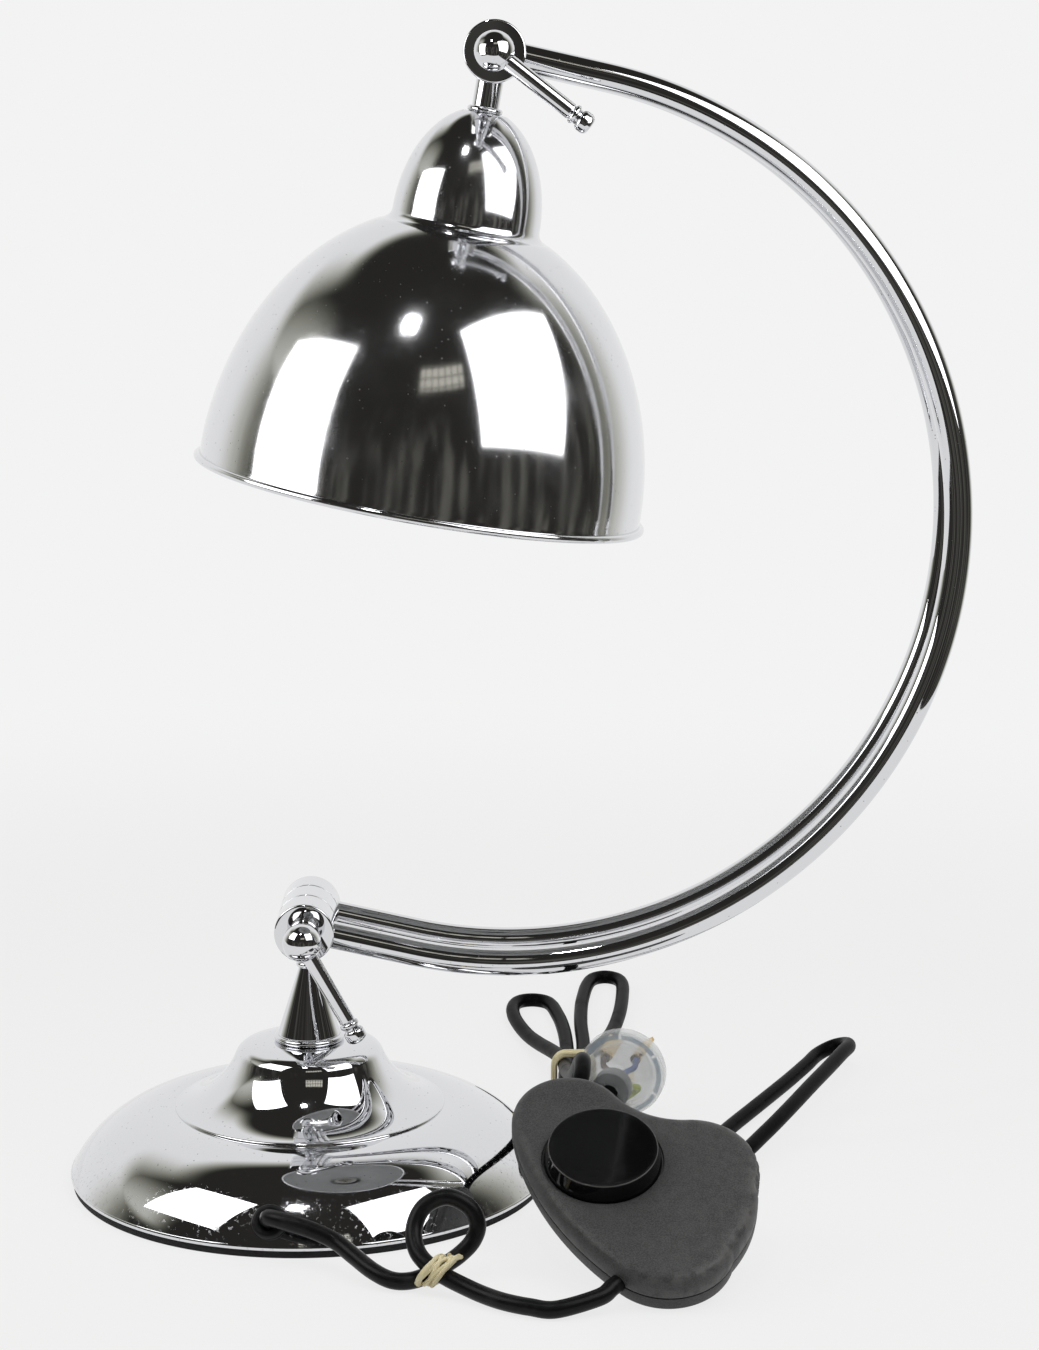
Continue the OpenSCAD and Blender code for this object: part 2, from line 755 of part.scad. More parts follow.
// The outline, moved in by k
function housing_outline(k) = concat(
  arc_about(front_c, front_lobe_r - k, front_turn, right_turn + 360, 12),
  arc_about(side_c, side_lobe_r - k, right_turn, bearing(side_c, hollow_c), 12),
  reversed([for (i = [1:6]) arc_about(hollow_c, hollow_r + k, bearing(hollow_c, rear_c) + 360,
                                      bearing(hollow_c, side_c) + 360, 7)[i]]),
  arc_about(rear_c, rear_lobe_r - k, bearing(rear_c, hollow_c), rear_turn, 12),
  [for (i = [1:6]) arc_about(long_side_c, long_side_r - k, rear_turn, front_turn, 7)[i]]
);

// A moulded body lofted through the outline at [height, inset] levels
module housing_loft(levels) {
  rings = [for (l = levels) [for (p = housing_outline(l[1])) [p[0], p[1], l[0]]]];
  n = len(rings[0]);
  last = len(levels) - 1;
  points = [for (r = rings) for (p = r) p];
  sides = [for (j = [0:last - 1]) for (i = [0:n - 1])
    [j * n + i, (j + 1) * n + i, (j + 1) * n + (i + 1) % n, j * n + (i + 1) % n]];
  polyhedron(points = points, convexity = 4, faces = concat(
    [[for (i = [0:n - 1]) i]], sides, [[for (i = [n - 1:-1:0]) last * n + i]]
  ));
}

module in_housing() {
  translate(housing_at) rotate([housing_slope, 0, 0]) children();
}

lamp_cord_turn = 224;
mains_cord_turn = 80;
knob_c = [-14.5, 53];
screw_places = [[-31, 78], [26, 57], [9, 8]];
post_r = 3.4;
board_z = housing_wall + 2;
board_t = 1.6;
knob_floor = housing_t - knob_recess;
control_d = 18;
control_h = knob_floor - housing_wall - board_z - board_t - 0.4;
screw_head_r = 2.6;
screw_r = 1.3;

module housing_entry(c, r, turn) {
  translate([c[0], c[1], parting_h]) rotate([0, 90, turn]) translate([0, 0, r - 8])
    cylinder(r = cord_hole_r, h = 14);
}

module housing_cuts() {
  housing_entry(front_c, front_lobe_r, lamp_cord_turn);
  housing_entry(rear_c, rear_lobe_r, mains_cord_turn);
  for (i = [0:flute_count - 1]) {
    turn = right_turn - 8 + i * 9;
    flute_r = 3;
    translate(concat(side_c + (side_lobe_r + flute_r - flute_depth) * [cos(turn), sin(turn)], [-cut]))
      cylinder(r = flute_r, h = housing_t - 3);
  }
}

module posts(from, to, r) {
  for (p = screw_places) translate([p[0], p[1], from]) cylinder(r = r, h = to - from);
}

module dimmer_base() {
  color("darkslategray") in_housing() difference() {
    union() {
      difference() {
        housing_loft([[0, 2.4], [0.5, 1.1], [1.8, 0.3], [parting_h - 0.5, 0],
                      [parting_h - 0.5, 0.5], [parting_h, 0.5]]);
        translate([0, 0, housing_wall]) linear_extrude(housing_t)
          polygon(housing_outline(housing_wall + 0.5));
      }
      posts(housing_wall - 0.5, board_z, post_r);
    }
    housing_cuts();
    posts(-cut, housing_t, screw_r + 0.3);
    posts(-cut, 1.8, screw_head_r + 0.2);
  }
}

module dimmer_cover() {
  color("darkslategray") in_housing() difference() {
    union() {
      difference() {
        housing_loft([[parting_h, 0], [housing_t - 4, 0.4], [housing_t - 2, 1.2],
                      [housing_t - 0.7, 2.8], [housing_t, 5]]);
        translate([0, 0, parting_h - cut]) linear_extrude(knob_floor - housing_wall - parting_h + cut)
          polygon(housing_outline(housing_wall + 0.5));
      }
      posts(board_z + board_t, knob_floor - housing_wall + 0.5, post_r);
    }
    housing_cuts();
    posts(0, 11, screw_r - 0.05);
    translate([knob_c[0], knob_c[1], knob_floor]) cylinder(d = knob_d + 1, h = housing_t);
    translate([knob_c[0], knob_c[1], parting_h]) cylinder(d = shaft_d + 1, h = housing_t);
  }
}

module dimmer_board() {
  color("darkgreen") in_housing() translate([0, 0, board_z]) difference() {
    linear_extrude(board_t) polygon(housing_outline(housing_wall + 5));
    posts(-cut, board_t + cut, screw_r + 0.3);
  }
}

// Control: the round body and shaft that the knob is pressed on and turns with
module dimmer_control() {
  color("silver") in_housing() translate([knob_c[0], knob_c[1], board_z + board_t]) {
    cylinder(d = control_d, h = control_h);
    cylinder(d = shaft_d, h = knob_floor + knob_h - 2.2 - board_z - board_t);
  }
}

module dimmer_screws() {
  color("silver") in_housing() {
    posts(0.4, 1.8, screw_head_r);
    posts(0.4, 10.5, screw_r - 0.1);
  }
}

module dimmer_knob() {
  color("black") in_housing() translate([knob_c[0], knob_c[1], knob_floor + 0.3]) difference() {
    rotate_extrude() polygon(concat(
      [[0, 0], [knob_d / 2, 0], [knob_d / 2, 0.8]],
      arc_about([knob_top_d / 2 - 0.7, knob_h - 0.3 - 0.7], 0.7, 20, 90, 5),
      [[0, knob_h - 0.3]]
    ));
    translate([0, 0, -cut]) cylinder(r = shaft_d / 2 + run_gap, h = knob_h - 2 + cut);
  }
}

// Cords: a smooth tube through points chosen along the route
function route_point(p, i) = p[max(0, min(len(p) - 1, i))];
function smooth_at(p, i, t) =
  let (a = route_point(p, i - 1), b = p[i], c = route_point(p, i + 1), d = route_point(p, i + 2))
  0.5 * (2 * b + (c - a) * t + (2 * a - 5 * b + 4 * c - d) * t * t + (3 * b - a - 3 * c + d) * t * t * t);
function smooth_route(p, n) = concat(
  [for (i = [0:len(p) - 2]) for (j = [0:n - 1]) smooth_at(p, i, j / n)], [p[len(p) - 1]]);
function heading(p, i) =
  let (d = p[min(i + 1, len(p) - 1)] - p[max(i - 1, 0)])
  d / norm(d);
function square_to(v, h) = let (w = v - (v * h) * h) w / norm(w);
function side_vectors(p) = [for (i = 0, v = square_to([0, 0, 1], heading(p, 0)); i < len(p);
  i = i + 1, v = i < len(p) ? square_to(v, heading(p, i)) : v) v];
function run_length(p, i = 0) = i + 1 >= len(p) ? 0 : norm(p[i + 1] - p[i]) + run_length(p, i + 1);
// Least gap between stretches of a tube that are more than five diameters apart along it
function least_gap(p, d, step) =
  min([for (i = [0:len(p) - 1]) for (j = [i + ceil(5 * d / step):1:len(p) - 1]) norm(p[i] - p[j])]) - d;

module cord_tube(route, d, sides, steps) {
  p = smooth_route(route, steps);
  v = side_vectors(p);
  n = len(p);
  points = [for (i = [0:n - 1]) let (h = heading(p, i), w = cross(h, v[i])) for (k = [0:sides - 1])
    p[i] + d / 2 * (cos(360 * k / sides) * v[i] + sin(360 * k / sides) * w)];
  walls = [for (i = [0:n - 2]) for (k = [0:sides - 1])
    let (a = i * sides + k, b = i * sides + (k + 1) % sides)
    each [[a, b, b + sides], [a, b + sides, a + sides]]];
  ends = [for (k = [1:sides - 2]) each [
    [0, k + 1, k], [(n - 1) * sides, (n - 1) * sides + k, (n - 1) * sides + k + 1]]];
  polyhedron(points = points, faces = [for (f = concat(walls, ends)) [f[0], f[2], f[1]]], convexity = 10);
}

module report_route(name, route) {
  fine = smooth_route(route, 8);
  span = run_length(fine);
  echo(str(name, ": length ", round(span), " mm, least gap to itself ",
           least_gap(fine, cord_d, span / (len(fine) - 1)), " mm"));
}

// Point on the grommet's axis, out from the dome
function grommet_out(d) =
  let (r = grommet_r + d * cos(grommet_rise))
  [r * cos(grommet_turn), r * sin(grommet_turn), grommet_z + d * sin(grommet_rise)];
// Point on the middle of a housing entry, out from the lobe's edge
function entry_out(c, r, turn, d) =
  let (u = c[0] + (r + d) * cos(turn), v = c[1] + (r + d) * sin(turn))
  housing_at + [u, v * cos(housing_slope) - parting_h * sin(housing_slope),
                v * sin(housing_slope) + parting_h * cos(housing_slope)];

lamp_cord_route = concat(
  [grommet_out(-3.5), grommet_out(0.5), grommet_out(4.5)],
  [[-8.4, -98.4, 17.2], [-1.6, -102.6, 17], [8, -104.4, 14.4], [16, -106.6, 11.2], [23.4, -113.6, 8],
   [30.4, -121.6, 5.6], [37.2, -126.2, 3.9], [43.6, -126, 3.4], [49.8, -121.8, 3.7], [56, -117.6, 5.8],
   [62.4, -114.6, 9.4], [67, -112.6, 14], [68.6, -111.3, 19.8], [65.2, -110, 26], [57.2, -109.5, 29.5],
   [49, -111, 26.2], [45.4, -115.5, 19.4], [46.6, -121.5, 13.4], [51, -126.9, 9.8], [57, -130.6, 7],
   [64, -135, 5], [71, -140.2, 3.8], [78.5, -145.8, 3.4], [87.5, -150.6, 3.4], [97, -153, 3.4]],
  [for (d = [10, 3, -4]) entry_out(front_c, front_lobe_r, lamp_cord_turn, d)]
);

// Plug: it lies on its flange, with its pins away from the base
plug_at = [128.9, 76, flange_d / 2];
plug_turn = -103;
plug_end = flange_t + cover_l + barrel_l;
function plug_out(d) = plug_at + d * [cos(plug_turn), sin(plug_turn), 0];

mains_cord_route = concat(
  [for (d = [-4, 3, 10]) entry_out(rear_c, rear_lobe_r, mains_cord_turn, d)],
  [[108.8, -33, 56.8], [108.6, -20, 53.2], [107.9, -3, 45], [107, 20, 34.6], [105.9, 46, 26],
   [104.9, 70, 19.6], [104.3, 87, 15.4], [104.2, 101, 12.8], [103, 112, 12], [100.8, 124, 10.4],
   [97.6, 138, 8.2], [93.4, 154, 5.8], [88.6, 172, 3.9], [84.4, 190, 3.4], [81.8, 206, 3.4],
   [81.6, 219.6, 3.4], [84.4, 228.4, 3.4], [90.6, 231.4, 3.4], [96.8, 228.4, 3.4], [100, 221, 3.4],
   [102.2, 208, 3.4], [104, 194, 3.4], [105.4, 174, 3.4], [105.9, 150, 3.4], [105.4, 126, 4.4],
   [104.6, 112, 5.2], [104.3, 101, 5.4], [103, 86, 4.2], [101.4, 64, 3.4], [102.9, 40, 3.4],
   [107.8, 16, 3.4], [112.4, -6, 3.4], [122.4, -21, 3.4], [140.1, -25, 3.4], [156.4, -17, 4],
   [171.8, -2, 6.4], [185.2, 22, 9], [196.8, 46, 11], [209.2, 75.5, 12], [219, 100, 12],
   [227, 121, 11.8], [231.2, 134, 10.6], [231.2, 144.4, 8.6], [225.8, 149.6, 5.8], [218.4, 144, 3.8],
   [212.1, 130, 3.4], [201.2, 105.6, 3.4], [186.4, 74.4, 3.4], [172.2, 44.6, 3.4], [163.2, 24, 3.4],
   [153.6, 5, 3.4], [139.2, -7, 3.4], [124.9, -3, 3.4], [116, 14, 3.4], [111.4, 38, 3.4],
   [110.4, 64, 3.4], [111.1, 86, 4.2], [111.5, 101, 5.4], [112, 114, 4.8], [112.8, 134, 3.6],
   [113.4, 162, 3.4], [113, 192, 3.4], [113.8, 220, 3.4], [115.4, 240, 3.4], [117.4, 256, 3.4],
   [120.4, 266.6, 3.4], [126.2, 270.8, 3.4], [132, 267.2, 3.4], [134.4, 258, 3.4], [134, 240, 3.4],
   [131.8, 212, 3.4], [127.9, 184, 3.4], [123.4, 160, 5], [118.6, 136, 9], [113.6, 116, 12.2],
   [111.6, 101, 12.6], [110.8, 89, 11.9], [106.4, 71, 11.6], [101.9, 50, 14.5], [99, 28, 17.8],
   [98, 11, 19.2], [98.1, -1, 19.5], [100.5, -6.9, 19.6], [106.4, -9.4, 19.4], [112.3, -6.9, 19.2],
   [114.8, 0, 19], [115.2, 9, 18.8]],
  [plug_out(plug_end + 24), plug_out(plug_end + 9), plug_out(plug_end - 11)]
);

module lamp_cord() {
  report_route("Lamp cord", lamp_cord_route);
  color("black") cord_tube(lamp_cord_route, cord_d, 8, 2);
}

module mains_cord() {
  report_route("Mains cord", mains_cord_route);
  color("black") cord_tube(mains_cord_route, cord_d, 6, 2);
}

// Rubber bands: turns of band round the two crossing strands, and one round the hank
front_tie_at = [54.2, -123.85, 6.7];
front_tie_turn = -8;
front_tie_rise = -17.6;
front_tie_spread = 10.6;
front_band_t = 1.3;
tie_fit = 0.3;
rear_tie_at = [107.9, 101, 9];
strand_step = 7.2;
band_turns = 3;
turn_swell = 0.4;

// The outline of two strands side by side, with round ends
module round_slot(l, r) {
  square([2 * r, l], center = true);
  for (y = [-1, 1]) translate([0, y * l / 2]) circle(r = r);
}

module front_tie() {
  step = band_w / band_turns;
  inner = cord_d / 2 + tie_fit;
  color("burlywood") translate(front_tie_at) rotate([0, 0, front_tie_turn]) rotate([front_tie_rise, 0, 0])
    rotate([0, 90, 0]) for (i = [0:band_turns - 1])
      translate([0, 0, (i - band_turns / 2) * step]) linear_extrude(step) difference() {
        round_slot(front_tie_spread, inner + front_band_t - (i % 2) * turn_swell);
        round_slot(front_tie_spread, inner);
      }
}

// The outline of a square block of four strands, with round corners
module round_block(w, r) {
  square([w + 2 * r, w], center = true);
  square([w, w + 2 * r], center = true);
  for (x = [-1, 1]) for (y = [-1, 1]) translate([x * w / 2, y * w / 2]) circle(r = r);
}

module rear_tie() {
  inner = cord_d / 2 + tie_fit;
  color("burlywood") translate(rear_tie_at) rotate([90, 0, 0])
    linear_extrude(band_w, center = true) difference() {
      round_block(strand_step, inner + band_t);
      round_block(strand_step, inner);
    }
}

// Plug pieces, turned about its axis from the pin face at zero
module along_plug() {
  translate(plug_at) rotate([0, 0, plug_turn]) rotate([0, 90, 0]) children();
}

pin_places = [[-7.9, 6.9, 30], [-7.9, -6.9, -30], [10.3, 0, 90]];

module pin_slots(gap) {
  for (p = pin_places) translate([p[0], p[1], 0]) rotate([0, 0, p[2]])
    cube([pin_t + 2 * gap, pin_w + 2 * gap, 4 * flange_t], center = true);
}

module plug_base() {
  flange_r = flange_d / 2;
  color("whitesmoke", 0.6) along_plug() difference() {
    rotate_extrude() polygon([
      [0, 0], [flange_r - 1, 0], [flange_r, 1], [flange_r, flange_t - 2.5], [flange_r - 1, flange_t - 1.5],
      [cover_d / 2 + 0.6, flange_t - 1.5], [cover_d / 2 - 3, flange_t - 1.5], [cover_d / 2 - 3, 3.2],
      [0, 3.2]
    ]);
    pin_slots(0.05);
  }
}

module plug_cover() {
  cover_r = cover_d / 2;
  barrel_r = barrel_d / 2;
  barrel_from = flange_t + cover_l;
  color("whitesmoke", 0.5) along_plug() rotate_extrude() polygon([
    [cover_r - plug_wall, flange_t - 1.5], [cover_r, flange_t - 1.5], [cover_r, barrel_from - 4],
    [cover_r - 2, barrel_from - 1], [barrel_r, barrel_from + 1], [barrel_r - 0.6, plug_end - 1],
    [barrel_r - 1.6, plug_end], [cord_hole_r + 0.4, plug_end], [cord_hole_r + 0.4, plug_end - plug_wall],
    [barrel_r - plug_wall, plug_end - plug_wall], [barrel_r - plug_wall, barrel_from - 1],
    [cover_r - 2 - plug_wall, barrel_from - 3], [cover_r - plug_wall, barrel_from - 6]
  ]);
}

module plug_grip() {
  grip_r = barrel_d / 2 - plug_wall;
  color("gray") along_plug() translate([0, 0, plug_end - plug_wall - 9]) difference() {
    cylinder(r = grip_r, h = 9);
    translate([0, 0, -cut]) cylinder(r = cord_hole_r, h = 9 + 2 * cut);
  }
}

module plug_pins() {
  color("goldenrod") along_plug() for (p = pin_places) {
    reach = p[1] == 0 ? earth_pin_l : pin_l;
    translate([p[0], p[1], 0]) rotate([0, 0, p[2]])
      translate([-pin_t / 2, -pin_w / 2, -reach]) cube([pin_t, pin_w, reach + 5.5]);
  }
}

base_shell();
weight();
base_pad();
stem_tube();
stem_washer();
stem_nut();
cone();
lower_hub();
lower_front_segment();
lower_rear_segment();
lower_friction_washers();
lower_bolt();
lower_lever_ball();
lower_lever_rod();
front_tube();
rear_tube();
upper_hub();
upper_front_segment();
upper_rear_segment();
upper_friction_washers();
upper_bolt();
upper_lever_ball();
upper_lever_rod();
shade_stem();
shade_collar();
shade_nipple();
shade_nut();
shade();
holder_body();
holder_ring();
holder_screw_shell();
holder_contact();
grommet();
lamp_cord();
front_tie();
dimmer_base();
dimmer_cover();
dimmer_board();
dimmer_control();
dimmer_screws();
dimmer_knob();
mains_cord();
rear_tie();
plug_base();
plug_cover();
plug_grip();
plug_pins();
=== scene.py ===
import math

import bmesh
import bpy
import numpy as np
from mathutils import Matrix, Vector


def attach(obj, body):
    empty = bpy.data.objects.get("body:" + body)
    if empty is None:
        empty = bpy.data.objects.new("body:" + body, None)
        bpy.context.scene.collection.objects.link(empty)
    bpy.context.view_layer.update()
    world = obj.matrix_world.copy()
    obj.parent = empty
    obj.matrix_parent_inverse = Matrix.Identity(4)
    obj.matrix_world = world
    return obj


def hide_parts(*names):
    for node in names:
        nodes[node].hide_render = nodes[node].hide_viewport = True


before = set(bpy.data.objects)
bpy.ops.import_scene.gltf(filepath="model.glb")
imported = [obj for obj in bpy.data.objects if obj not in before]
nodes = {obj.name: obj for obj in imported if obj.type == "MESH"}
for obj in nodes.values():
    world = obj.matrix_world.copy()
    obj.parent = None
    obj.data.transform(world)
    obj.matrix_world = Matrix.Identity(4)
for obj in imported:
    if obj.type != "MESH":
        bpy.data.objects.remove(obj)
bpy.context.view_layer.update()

# Pad: a disc of black foam rubber glued under the base, a little smaller than the lip, so that
# the lamp stands firm and does not mark the table. Its cut edge is open-celled and dull.
MM = 0.001


class Wire:
    """A socket of a node tree. Operators add Math nodes, and node() adds any other kind."""

    def __init__(self, tree, socket=None):
        self.tree = tree
        self.socket = socket

    def node(self, kind, settings, sockets, out=0):
        made = self.tree.nodes.new("ShaderNode" + kind)
        for name, value in settings.items():
            setattr(made, name, value)
        for name, value in sockets.items():
            if isinstance(value, Wire):
                self.tree.links.new(value.socket, made.inputs[name])
            else:
                made.inputs[name].default_value = value
        return Wire(self.tree, made.outputs[out] if len(made.outputs) else None)

    def beside(self, out):
        """Another output of the same node."""
        return Wire(self.tree, self.socket.node.outputs[out])

    def math(self, operation, first, second):
        return self.node("Math", {"operation": operation}, {0: first, 1: second})

    def __add__(self, other):
        return self.math("ADD", self, other)

    def __sub__(self, other):
        return self.math("SUBTRACT", self, other)

    def __rsub__(self, other):
        return self.math("SUBTRACT", other, self)

    def __mul__(self, other):
        return self.math("MULTIPLY", self, other)

    def __truediv__(self, other):
        return self.math("DIVIDE", self, other)

    def __pow__(self, other):
        return self.math("POWER", self, other)

    def __gt__(self, other):
        return self.math("GREATER_THAN", self, other)

    __radd__ = __add__
    __rmul__ = __mul__


def open_finish(name):
    """A new material, and the wire that holds the place on the piece, in metres."""
    made = bpy.data.materials.new(name)
    made.use_nodes = True
    made.node_tree.nodes.clear()
    return made, Wire(made.node_tree).node("TexCoord", {}, {}, "Object")


def close_finish(made, place, sockets):
    shader = place.node("BsdfPrincipled", {}, sockets)
    place.node("OutputMaterial", {}, {"Surface": shader})
    return made


def smooth_step(value, low, high):
    return value.node("MapRange", {"interpolation_type": "SMOOTHSTEP"},
                      {"Value": value, "From Min": low, "From Max": high})


def mix_colour(share, low, high):
    return share.node("Mix", {"data_type": "RGBA"}, {0: share, 6: low, 7: high}, 2)


def cloud(place, size, detail):
    """Soft random patches of about that size, in millimetres."""
    return place.node("TexNoise", {}, {"Vector": place, "Scale": 1 / (size * MM), "Detail": detail})


def bump(height, depth, strength=1.0):
    return height.node("Bump", {}, {"Height": height, "Distance": depth * MM, "Strength": strength})


def arc(centre, radius, first, last, steps):
    """Points of an arc, between two angles in degrees."""
    turns = np.radians(np.linspace(first, last, steps + 1))
    return [(centre[0] + radius * math.cos(a), centre[1] + radius * math.sin(a)) for a in turns]


def between(rows, sides, closed=False):
    """Faces between each ring of points and the next, and from the last to the first if closed."""
    return [(i * sides + j, i * sides + (j + 1) % sides,
             (i + 1) % rows * sides + (j + 1) % sides, (i + 1) % rows * sides + j)
            for i in range(rows if closed else rows - 1) for j in range(sides)]


def turned(outline, sides):
    """Points and faces of a closed outline of (radius, height), turned round Z. A long straight gets
    a point near each of its ends, so that it also shades as a straight."""
    long_straight, brace = 3.0, 0.2
    outline, braced = np.array(outline, float), []
    for here, there in zip(outline, np.roll(outline, -1, 0)):
        long = np.hypot(*(there - here))
        braced.append(here)
        if long > long_straight:
            braced += [here + (there - here) * brace / long, there - (there - here) * brace / long]
    outline = np.array(braced)
    turns = np.arange(sides) * 2 * math.pi / sides
    ring = np.stack([np.cos(turns), np.sin(turns)], 1)
    points = np.concatenate([
        np.column_stack([ring * radius, np.full(sides, height)]) for radius, height in outline])
    on_axis = outline[:, 0] < 1e-6
    along_axis = on_axis & np.roll(on_axis, -1)
    return points, [face for face in between(len(outline), sides, True) if not along_axis[face[0] // sides]]


def piece(name, shape, place, finish, body, replaced, sharp=30):
    """A new piece from points in millimetres, set in its place, that stands for CAD nodes."""
    points, faces = shape
    mesh = bpy.data.meshes.new(name)
    mesh.from_pydata([place @ Vector(p) * MM for p in points], [], faces)
    work = bmesh.new()
    work.from_mesh(mesh)
    bmesh.ops.remove_doubles(work, verts=work.verts, dist=1e-7)
    bmesh.ops.dissolve_degenerate(work, edges=work.edges, dist=1e-8)
    bmesh.ops.recalc_face_normals(work, faces=work.faces)
    work.to_mesh(mesh)
    work.free()
    mesh.shade_smooth()
    mesh.set_sharp_from_angle(angle=math.radians(sharp))
    mesh.materials.append(finish)
    made = bpy.data.objects.new(name, mesh)
    bpy.context.scene.collection.objects.link(made)
    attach(made, body)
    if replaced:
        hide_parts(*replaced)
    return made


upright = Matrix.Identity(4)
pad_radius, pad_height, pad_edge = 95.0, 2.6, 0.3
foam, place = open_finish("black_foam")
cells = cloud(place, 0.7, 4.0)
foam = close_finish(foam, place, {
    "Base Color": mix_colour(cells, (0.010, 0.010, 0.011, 1), (0.030, 0.030, 0.031, 1)),
    "Roughness": 0.80 + 0.15 * cells,
    "Normal": bump(cells, 0.25)})
pad_outline = ([(0, 0)] + arc((pad_radius - pad_edge, pad_edge), pad_edge, -90, 0, 4)
               + arc((pad_radius - pad_edge, pad_height - pad_edge), pad_edge, 0, 90, 4) + [(0, pad_height)])
piece("pad_of_foam", turned(pad_outline, 256), upright, foam, "base", ["base_pad"])

# Weight, washer, nut and stem tube: a rough iron casting stands on the pad inside the base, and a
# zinc-plated threaded tube with a washer and nut below ties it to the base, cone and hub.
iron, place = open_finish("cast_iron")
sand = cloud(place, 1.6, 5.0)
iron = close_finish(iron, place, {
    "Base Color": mix_colour(sand, (0.035, 0.034, 0.033, 1), (0.11, 0.10, 0.095, 1)),
    "Metallic": 0.6, "Roughness": 0.55 + 0.3 * sand, "Normal": bump(sand, 0.3)})

zinc, place = open_finish("zinc_plate")
spangle = cloud(place, 2.5, 4.0)
zinc = close_finish(zinc, place, {
    "Base Color": mix_colour(spangle, (0.42, 0.43, 0.45, 1), (0.62, 0.62, 0.61, 1)),
    "Metallic": 1.0, "Roughness": 0.24 + 0.2 * spangle})


def refinish(names, finish):
    """Gives CAD nodes that stay a finish in place of their own."""
    for name in names:
        nodes[name].data.materials.clear()
        nodes[name].data.materials.append(finish)


refinish(["weight"], iron)
refinish(["stem_tube", "stem_washer", "stem_nut"], zinc)

# Base: a bell spun from steel sheet, with a lip rolled at its foot, a step ring halfway up and a
# crowned top for the cone. Bright chrome plate, pitted near the lip and hazed by handling.
lip_centre, lip_radius = (94.7, 3.9), 1.3
dome_foot, dome_radius = np.array((95.5, 4.8)), 46.0
ring_edge, ring_bead = np.array((54.0, 29.5)), 1.0
flare_radius, shoulder_at = 34.0, np.array((30.5, 48.5))
shoulder_radius, crown_radius = 6.5, 40.0
seat_edge, seat_hole, base_sheet = np.array((15.0, 56.0)), 2.85, 1.2


def two_reach(a, reach_a, b, reach_b, side):
    """The point at two distances from two points, left of the way from a to b if side is 1."""
    way = b - a
    long = np.hypot(*way)
    along = (long ** 2 + reach_a ** 2 - reach_b ** 2) / (2 * long)
    across = side * math.sqrt(reach_a ** 2 - along ** 2)
    return a + (along * way + across * np.array((-way[1], way[0]))) / long


def bearing(a, b):
    return math.degrees(math.atan2(b[1] - a[1], b[0] - a[0]))


def arc_between(centre, radius, first, last, steps):
    start = bearing(centre, first)
    sweep = (bearing(centre, last) - start + 540) % 360 - 180
    return arc(centre, radius, start, start + sweep, steps)


def sheet(outer, wall):
    """A closed outline: an outer line, and the same line moved in to its left by the wall."""
    line = np.array(outer)
    way = np.gradient(line, axis=0)
    left = np.column_stack([-way[:, 1], way[:, 0]]) / np.hypot(way[:, 0], way[:, 1])[:, None]
    return [tuple(p) for p in line], [tuple(p) for p in (line + wall * left)[::-1]]


def chrome_plate(name, pit_share, haze, dull=0.0, spun=0.0, satin=0.022):
    """Mirror plate with fine wiping scratches, a few dark pits and patches of haze. Dull says how
    much of it is speckled near the table, spun how deep the lathe lines are, and satin how soft."""
    pit_size = 1.1
    made, place = open_finish(name)
    patches = smooth_step(cloud(place, 26, 5.0), 0.46, 0.72)
    wiped = place.node("Mapping", {}, {"Vector": place, "Scale": (1, 1, 9)})
    fine = smooth_step(cloud(wiped, 3.2, 8.0), 0.55, 0.8)
    cell = place.node("TexVoronoi", {}, {"Vector": place, "Scale": 1 / (pit_size * MM)}, "Distance")
    chance = place.node("SeparateColor", {}, {"Color": cell.beside("Color")}, 0)
    pits = (chance > 1 - pit_share) * smooth_step(cell, 0.34, 0.12)
    low = place.node("SeparateXYZ", {}, {"Vector": place}, 2)
    edge = smooth_step(low, 0.030, 0.006) * dull
    specks = smooth_step(cloud(place, 1.5, 6.0), 0.56, 0.66) * edge
    rough = satin + haze * patches + 0.03 * fine + 0.25 * pits + 0.20 * specks
    tone = mix_colour(pits * 0.75 + specks * 0.15, (0.74, 0.745, 0.765, 1), (0.20, 0.19, 0.18, 1))
    sockets = {"Base Color": tone, "Metallic": 1.0, "Roughness": rough}
    if spun:
        lathe = place.node("Mapping", {}, {"Vector": place, "Scale": (1, 1, 14)})
        sockets["Normal"] = bump(cloud(lathe, 30, 2.0), spun, 0.5)
    return close_finish(made, place, sockets)


dome_centre = two_reach(dome_foot, dome_radius, ring_edge, dome_radius, 1)
ring_top = ring_edge + (-ring_bead, ring_bead)
flare_centre = two_reach(ring_top, flare_radius, shoulder_at, flare_radius, -1)
crown_centre = seat_edge - (0, crown_radius)
shoulder_centre = two_reach(crown_centre, crown_radius - shoulder_radius,
                            flare_centre, flare_radius + shoulder_radius, 1)
shoulder_top = 2 * shoulder_centre - crown_centre
bell = (arc_between(dome_centre, dome_radius, dome_foot, ring_edge, 60)
        + arc(ring_edge - (ring_bead, 0), ring_bead, 0, 90, 8)
        + arc_between(flare_centre, flare_radius, ring_top, shoulder_centre, 44)
        + arc_between(shoulder_centre, shoulder_radius, flare_centre, shoulder_top, 16)[1:]
        + arc_between(crown_centre, crown_radius, shoulder_centre, seat_edge, 16)[1:]
        + [(seat_hole, seat_edge[1])])
outside, inside = sheet(bell, base_sheet)
base_chrome = chrome_plate("chrome_base", pit_share=0.05, haze=0.05, dull=1.0)
rolled_lip = arc(lip_centre, lip_radius, -180, 46, 20)
base_bell = piece("base_bell", turned(rolled_lip + outside + inside[:-1], 288),
                  upright, base_chrome, "base", ["base_shell"], sharp=32)

